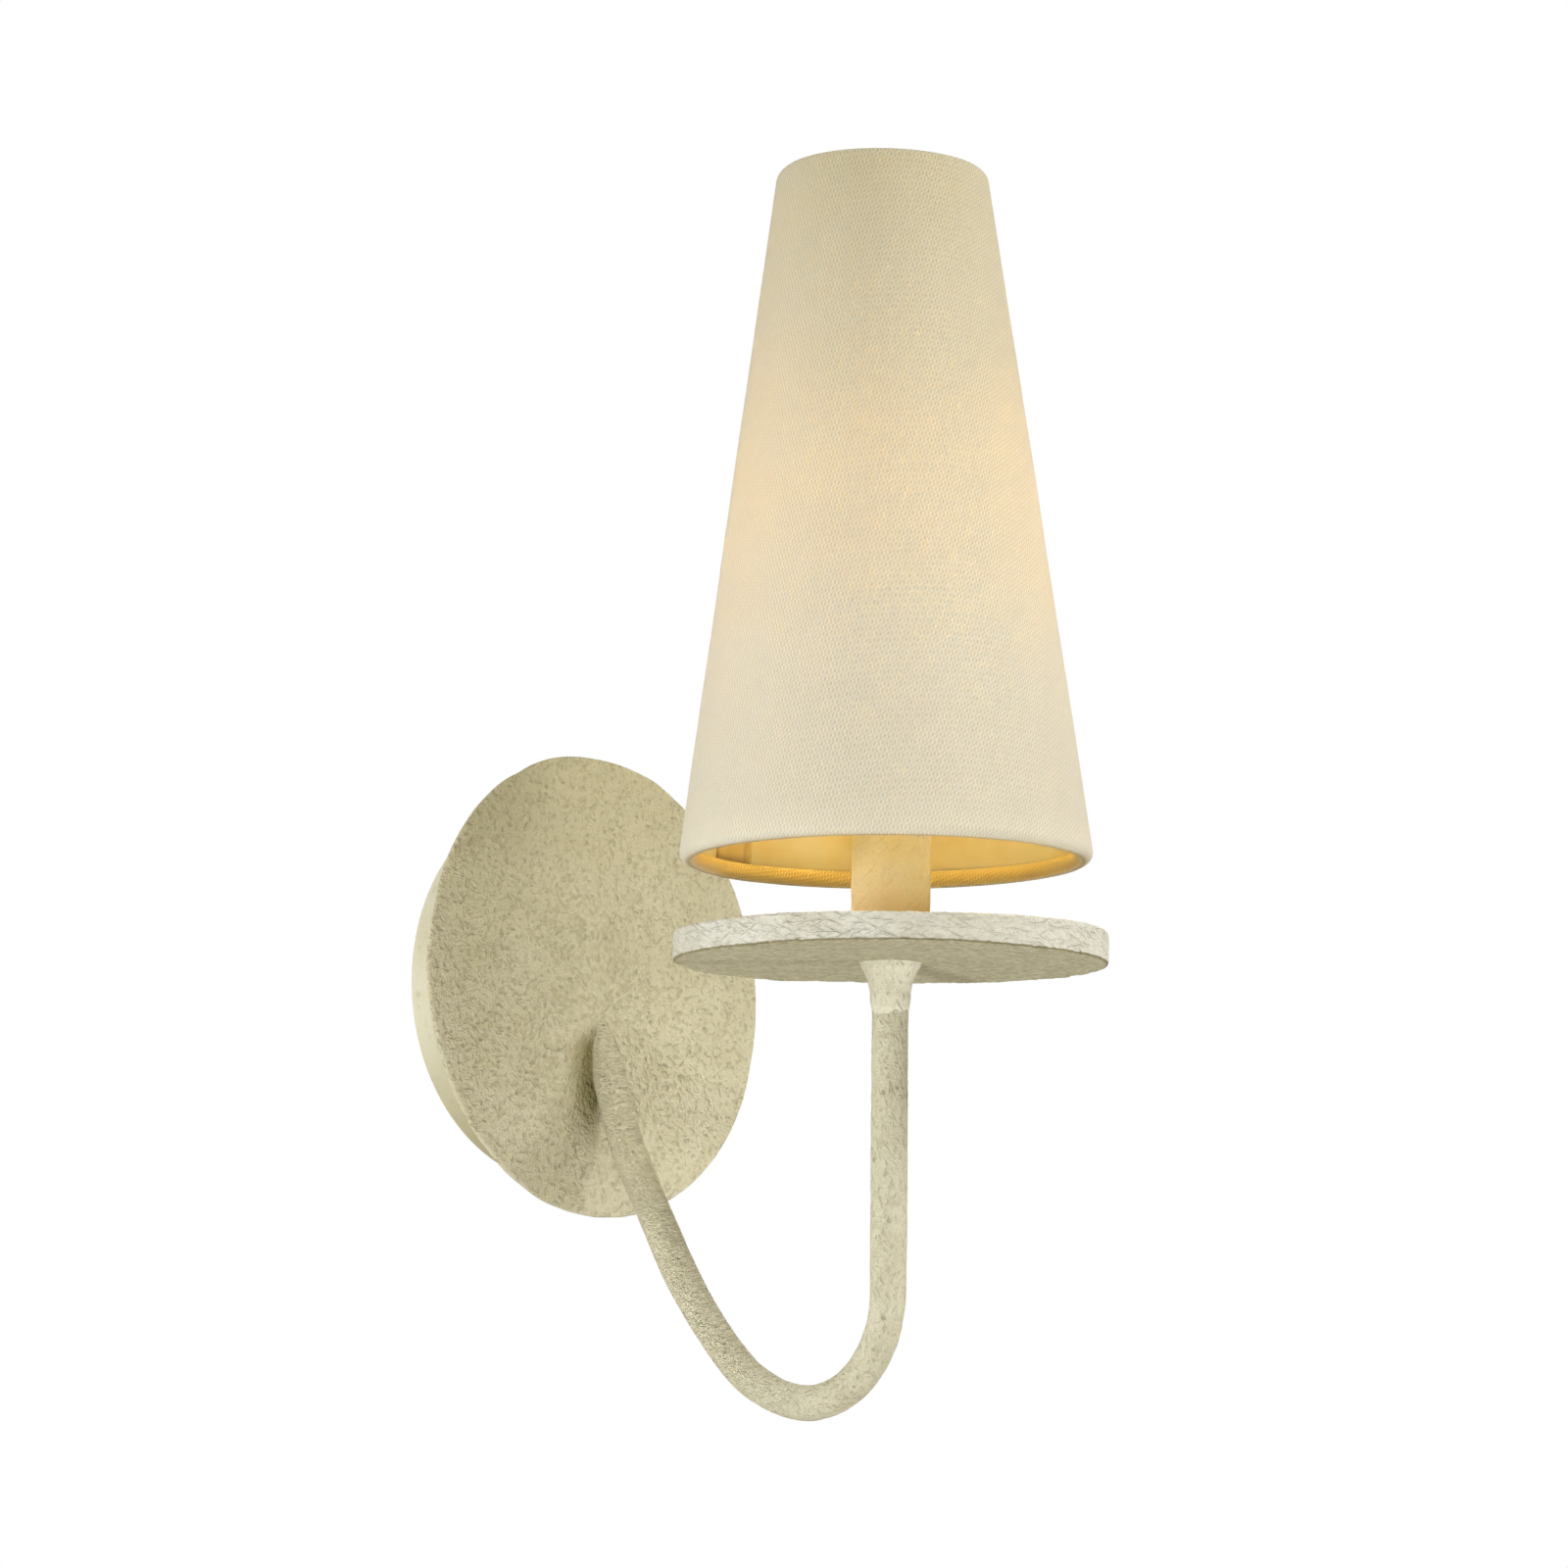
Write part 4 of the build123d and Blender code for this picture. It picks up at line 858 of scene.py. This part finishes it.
def disc_piece():
    """Thick drip disc, its edge worked with a brush and a knife."""
    low, high = disc_low.z, disc_high.z
    edge = DISC_EDGE_ROUND
    rim_radius = DISC_RADIUS + DISC_COAT
    face = np.linspace(NIPPLE_HOLE_RADIUS, rim_radius - edge, 50)
    profile = [(r, low) for r in face]
    profile += arc_profile((rim_radius - edge, low + edge), edge, -90, 0, 5)[1:]
    profile += [(rim_radius, h) for h in np.linspace(low + edge, high - edge, 12)[1:-1]]
    profile += arc_profile((rim_radius - edge, high - edge), edge, 0, 90, 5)
    profile += [(r, high) for r in face[::-1][1:]]

    def relief(points):
        reach = from_post(points)
        rim = smooth_step(DISC_RADIUS - 6 * MM, DISC_RADIUS - 1 * MM, reach)
        wave = 0.25 * MM * value_noise(points, 19 * MM, 81) + 0.10 * MM * layered_noise(points, 6 * MM, 83)
        worms, _ = gesso_relief(points, 1.8 * MM, 85)
        strokes = brush_relief(points, 87)
        outer = smooth_step(12 * MM, 16 * MM, reach)
        carved = 0.10 * MM * worms * (0.5 + 0.5 * rim) - 0.22 * MM * strokes * rim
        return outer * (wave * (0.45 + 0.55 * rim) + carved), 0.10 * outer * rim * strokes

    def raised(points):
        side = (points[:, 0] - POST.x - points[:, 1] + POST.y) * math.sqrt(0.5) / DISC_RADIUS
        upper = smooth_step(low, high, points[:, 2])
        lowered = (1 - upper) * DISC_DROP * smooth_step(0.2, 0.8, abs(side))
        return upper * DISC_RISE * smooth_step(0.2, 1, side) - lowered

    return turned_piece("drip_disc_gesso", profile, 720, "disc_gesso", "drip_disc", relief, raised)


def cover_piece():
    """Candle cover under a blotchy plaster coat."""
    low, high = cover_low.z, cover_high.z
    bore = COVER_BORE_RADIUS
    edge = COVER_EDGE_ROUND
    profile = [(COVER_RADIUS, h) for h in np.linspace(low, high - edge, 90)]
    profile += arc_profile((COVER_RADIUS - edge, high - edge), edge, 0, 90, 6)[1:]
    profile += [(bore, high), (bore, high - 4 * MM), (bore, (low + high) / 2), (bore, low)]

    def relief(points):
        reach = from_post(points)
        outer = smooth_step(bore + 0.5 * MM, bore + 2 * MM, reach)
        worms, groove = gesso_relief(points, 2.2 * MM, 93)
        coat = 0.16 * MM * layered_noise(points, 9 * MM, 91) + 0.06 * MM * worms - COVER_COAT_SUNK
        return outer * coat, 0.15 * outer * groove

    return turned_piece("candle_cover_gesso", profile, 96, "cover_gesso", "candle_cover", relief)


# Shade: cloth over a liner, rolled round a wire ring at each end
lean = math.radians(SHADE_LEAN)
lean_turn = math.radians(SHADE_LEAN_HEADING)
lean_way = Vector((math.cos(lean_turn), math.sin(lean_turn), 0))
shade_up = lean_way * math.sin(lean) + Vector((0, 0, math.cos(lean)))
shade_across = Vector((lean_way.y, -lean_way.x, 0))
shade_along = shade_up.cross(shade_across)
shade_origin = Vector((0, POST.y, GRIP_HEIGHT)) + lean_way * SHADE_SHIFT
across_heading = SHADE_LEAN_HEADING - 90
wall_slope = math.atan2(SHADE_FOOT_RADIUS - SHADE_TOP_RADIUS, SHADE_HEIGHT)
shade_foot = SHADE_FOOT_HEIGHT - GRIP_HEIGHT
shade_top = shade_foot + SHADE_HEIGHT


def wall_radius(height, inset):
    """Radius of the cloth's outside at a height in the shade's frame, drawn in by the inset."""
    return SHADE_FOOT_RADIUS - (height - shade_foot) * math.tan(wall_slope) - inset / math.cos(wall_slope)


def shade_outward(headings):
    """Ways out from the shade's axis at headings in degrees."""
    turn = np.radians(np.asarray(headings) - across_heading)
    return np.cos(turn)[:, None] * np.array(shade_across) + np.sin(turn)[:, None] * np.array(shade_along)


def roll(centre, radius, start, end, count):
    """Points and outward ways on an arc of cloth, from one angle in degrees to another."""
    angles = np.radians(np.linspace(start, end, count))
    ways = [np.array([math.cos(angle), math.sin(angle)]) for angle in angles]
    return [(centre + way * radius, way) for way in ways]


def cloth_path():
    """The middle of the cloth's thickness: round the top ring, down the cone and round the foot ring."""
    top_height = shade_top - TOP_ROLL_RADIUS
    foot_height = shade_foot + FOOT_ROLL_RADIUS
    top_centre = np.array([wall_radius(top_height, TOP_ROLL_RADIUS), top_height])
    foot_centre = np.array([wall_radius(foot_height, FOOT_ROLL_RADIUS), foot_height])
    slope = math.degrees(wall_slope)
    half = CLOTH_THICKNESS / 2
    path = roll(top_centre, TOP_ROLL_RADIUS - half, ROLL_END, slope, TOP_ROLL_STEPS)
    foot = roll(foot_centre, FOOT_ROLL_RADIUS - half, slope, -ROLL_END, FOOT_ROLL_STEPS)
    first, way = path[-1]
    for part in np.linspace(0, 1, WALL_STEPS + 2)[1:-1]:
        path.append((first + (foot[0][0] - first) * part, way))
    path += foot
    return np.array([p for p, _ in path]), np.array([w for _, w in path])


def lay_cloth_flat(mesh, run, apex, cone):
    """Give the mesh the map of its flat cut, a fan round the cone's apex."""
    loops = np.zeros(len(mesh.loops), np.int32)
    mesh.loops.foreach_get("vertex_index", loops)
    column = (loops % CLOTH_COLUMNS).reshape(-1, 4)
    last = (column == 0) & (column.max(axis=1) == CLOTH_COLUMNS - 1)[:, None]
    column = np.where(last, CLOTH_COLUMNS, column).ravel()
    spread = (column / CLOTH_COLUMNS * 2 - 1) * math.pi * cone
    reach = apex + run[loops // CLOTH_COLUMNS]
    flat_cut = np.column_stack([reach * np.sin(spread), -reach * np.cos(spread)])
    mesh.uv_layers.new(name="cloth").data.foreach_set("uv", flat_cut.astype(np.float32).ravel())


def cloth_piece():
    """The cloth as one band of even thickness, with a little slack and a step at its overlap."""
    points, ways = cloth_path()
    half = CLOTH_THICKNESS / 2
    profile = np.vstack([points + ways * half, (points - ways * half)[::-1]])
    seam_middle = SEAM_START + SEAM_ANGLE / 2
    headings = seam_middle + np.linspace(0, 360, CLOTH_COLUMNS, endpoint=False)
    centre = np.array(shade_origin)
    up = np.array(shade_up)
    outward = shade_outward(headings)
    flat = (centre + profile[:, None, :1] * outward[None] + profile[:, None, 1:] * up).reshape(-1, 3)
    out = flat - centre
    out -= (out @ up)[:, None] * up
    out /= np.linalg.norm(out, axis=1)[:, None]
    slack = CLOTH_SLACK * value_noise(flat, 60 * MM, 101) + CLOTH_RIPPLE * layered_noise(flat, 16 * MM, 103)
    away = np.abs((np.tile(headings, len(profile)) - seam_middle + 180) % 360 - 180)
    overlap = OVERLAP_RISE * smooth_step(SEAM_ANGLE / 2 + 0.8, SEAM_ANGLE / 2 - 0.2, away)
    flat = flat + out * (slack + overlap)[:, None]
    turn = np.radians(np.tile(headings, len(profile)))
    level = np.repeat((profile[:, 1] - shade_foot) / SHADE_HEIGHT, CLOTH_COLUMNS)
    rise = TOP_TILT * np.cos(turn - TOP_TILT_HEADING) + TOP_BOW * np.cos(2 * turn - TOP_BOW_HEADING)
    drop = FOOT_DROP * (1 + np.cos(turn - FOOT_DROP_HEADING))
    shift = rise * smooth_step(0.75, 1.0, level) - drop * smooth_step(0.25, 0.0, level)
    flat = flat + shift[:, None] * up
    # Marks for the painted shade under the foot's hem and the painted lamp light on the cloth turned inside
    roll_angles = np.linspace(math.degrees(wall_slope), -ROLL_END, FOOT_ROLL_STEPS)
    turned_in = np.concatenate([np.zeros(len(points) - FOOT_ROLL_STEPS), smooth_step(-40, -140, roll_angles)])
    turned_in = np.repeat(np.concatenate([turned_in, turned_in[::-1]]), CLOTH_COLUMNS)
    faces = ring_faces(len(profile), CLOTH_COLUMNS, True)
    piece = add_piece("shade_cloth_linen", flat, faces, "shade", "shade_linen", "shade_cloth", turned_in)

    steps = np.concatenate([[0], np.cumsum(np.linalg.norm(np.diff(points, axis=0), axis=1))])
    run = steps - steps[TOP_ROLL_STEPS - 1]
    cone = math.sin(wall_slope)
    apex = points[TOP_ROLL_STEPS - 1][0] / cone
    lay_cloth_flat(piece.data, np.concatenate([run, run[::-1]]), apex, cone)
    return piece


def seam_piece():
    """The overlap strip inside the shade: thin, with a glued bead along one edge."""
    headings = np.linspace(*SEAM_STRIP_HEADINGS, 49)
    heights = np.linspace(shade_foot + LINER_END_GAP, shade_top - LINER_END_GAP, 70)
    angle = np.radians(headings)
    outward = shade_outward(headings)
    loop = np.concatenate([np.arange(len(headings)), np.arange(len(headings))[::-1]])
    inner_side = np.arange(len(loop)) >= len(headings)
    points = np.zeros((len(heights), len(loop), 3))
    painted_shading = np.zeros((len(heights), len(loop)))
    for row, height in enumerate(heights):
        outer = wall_radius(height, SEAM_INSET)
        apart = (angle - math.radians(SEAM_BEAD_HEADING)) * outer / SEAM_BEAD_WIDTH
        along = np.column_stack([angle * outer, angle * 0, angle * 0 + height])
        wander = 0.25 * value_noise(along, 7 * MM, 121)
        bead = SEAM_BEAD_DEPTH * np.exp(-((apart + wander) ** 2))
        edge = smooth_step(0, 0.6 * MM, np.minimum(angle - angle[0], angle[-1] - angle) * outer)
        depth = (SEAM_THICKNESS + bead) * (0.25 + 0.75 * edge)
        radius = outer - np.where(inner_side, depth[loop], 0.0)
        points[row] = np.array(shade_origin) + radius[:, None] * outward[loop] + height * np.array(shade_up)
        # Painted shade beside the bead and along the strip's far edge
        shade_beside_bead = np.exp(-((np.abs(apart) - 1.7) / 0.5) ** 2)
        far_edge_shade = smooth_step(1.8 * MM, 0.3 * MM, (angle[-1] - angle) * outer)
        painted_shading[row] = np.maximum(0.7 * shade_beside_bead, far_edge_shade)[loop]
    faces = ring_faces(len(heights), len(loop), False)
    flat = points.reshape(-1, 3)
    return add_piece("seam_strip_tape", flat, faces, "shade", "seam_tape", "seam_strip", painted_shading.ravel())


front_plate_piece()
arm_piece()
collar_piece()
disc_piece()
cover_piece()
cloth_piece()
seam_piece()

# Plain soft studio light: name, heading, elevation, distance, power in watts, size and colour of each lamp
SCENE_CENTRE = Vector((0.0, -0.12, 0.06))
WARM_WHITE = (1.0, 0.995, 0.98)
COOL_WHITE = (0.98, 0.99, 1.0)
STUDIO_LIGHTS = (
    ("right_key", 309.0, 39.0, 2.3, 25.0, 0.70, WARM_WHITE),
    ("top_key", 290.0, 48.0, 2.3, 13.0, 0.50, WARM_WHITE),
    ("front_fill", 232.0, -10.0, 2.2, 6.2, 1.20, COOL_WHITE),
    ("right_low", 314.0, -26.0, 1.5, 5.0, 0.24, COOL_WHITE),
    ("left_soft", 172.0, 12.0, 2.0, 10.0, 0.70, COOL_WHITE),
    ("left_edge", 126.0, 5.0, 1.7, 9.0, 0.60, (0.94, 0.98, 1.0)),
    ("left_low", 203.0, -33.0, 1.3, 6.5, 0.14, COOL_WHITE),
)


def studio_light(name, heading, elevation, distance, energy, size, colour):
    """A soft round lamp that looks at the middle of the object."""
    turn = math.radians(heading)
    level = distance * math.cos(math.radians(elevation))
    rise = distance * math.sin(math.radians(elevation))
    way = Vector((level * math.cos(turn), level * math.sin(turn), rise))
    light = bpy.data.lights.new(name, "AREA")
    light.energy = energy
    light.color = colour
    light.shape = "DISK"
    light.size = size
    lamp = bpy.data.objects.new(name, light)
    lamp.location = SCENE_CENTRE + way
    lamp.visible_camera = False
    lamp.rotation_mode = "QUATERNION"
    lamp.rotation_quaternion = (-way).to_track_quat("-Z", "Y")
    bpy.context.scene.collection.objects.link(lamp)


for studio_row in STUDIO_LIGHTS:
    studio_light(*studio_row)

# White surroundings, seen by the camera and in reflections, and a plain pale floor
WORLD_LIGHT = 0.48
WORLD_TINT = (1.0, 0.965, 0.80, 1.0)
WHITE = (1.0, 1.0, 1.0, 1.0)
FLOOR_HEIGHT = -0.95
FLOOR_RADIUS = 9.0
FLOOR_SIDES = 64
FADE_START = 0.7
FADE_END = 1.9


def studio_world():
    """Plain white where it is seen, and a softer light with a warm tint on matt surfaces."""
    n = Nodes(bpy.data.worlds.new("studio"), "OutputWorld")
    seen = n.seen()
    strength = n.span(seen, 0.0, 1.0, WORLD_LIGHT, 1.0)
    sky = n.node("Background", Color=n.blend(seen, WORLD_TINT, WHITE), Strength=strength)
    return n.finish(sky.outputs[0])


def floor_material():
    """Pale floor that takes the object's shadow and turns plain white further out."""
    n = new_material("floor")
    place = n.node("NewGeometry").outputs["Position"]
    away = n.span(n.vector("LENGTH", n.vector("MULTIPLY", place, (1.0, 1.0, 0.0))), FADE_START, FADE_END)
    colour = n.blend(n.span(n.noise(30.0, 3.0), 0.3, 0.7), srgb(238, 238, 236), srgb(242, 242, 241))
    colour = n.blend(n.node("LightPath").outputs["Is Diffuse Ray"], colour, srgb(196, 194, 187))
    matt = n.principled(colour, 0.9, Specular_IOR_Level=0.1)
    white = n.node("Emission", Color=WHITE, Strength=1.0).outputs[0]
    return n.finish(n.mix_shaders(n.times(away, n.seen()), matt, white))


def floor():
    angles = np.linspace(0, 2 * math.pi, FLOOR_SIDES, endpoint=False)
    mesh = bpy.data.meshes.new("floor")
    rim = [(FLOOR_RADIUS * math.cos(a), FLOOR_RADIUS * math.sin(a), FLOOR_HEIGHT) for a in angles]
    mesh.from_pydata(rim, [], [tuple(range(FLOOR_SIDES))])
    mesh.materials.append(floor_material())
    ground = bpy.data.objects.new("floor", mesh)
    bpy.context.scene.collection.objects.link(ground)


bpy.context.scene.world = studio_world()
floor()
bpy.context.scene.view_settings.view_transform = "Standard"

# Camera at the photograph's angle
CAMERA_PLACE = Vector((-0.8723, -0.9889, -0.1220))
CAMERA_TARGET = Vector((0.0416, -0.0750, 0.0754))
CAMERA_ROLL = math.radians(0.64)
CAMERA_LENS = 80.64
camera_data = bpy.data.cameras.new("camera")
camera_data.lens = CAMERA_LENS
camera_data.sensor_width = 36.0
camera_data.clip_start = 0.05
camera_data.clip_end = 60.0
camera = bpy.data.objects.new("camera", camera_data)
camera.location = CAMERA_PLACE
aim = (CAMERA_TARGET - CAMERA_PLACE).to_track_quat("-Z", "Y")
camera.rotation_mode = "QUATERNION"
camera.rotation_quaternion = aim @ Matrix.Rotation(CAMERA_ROLL, 3, "Z").to_quaternion()
bpy.context.scene.collection.objects.link(camera)
bpy.context.scene.camera = camera
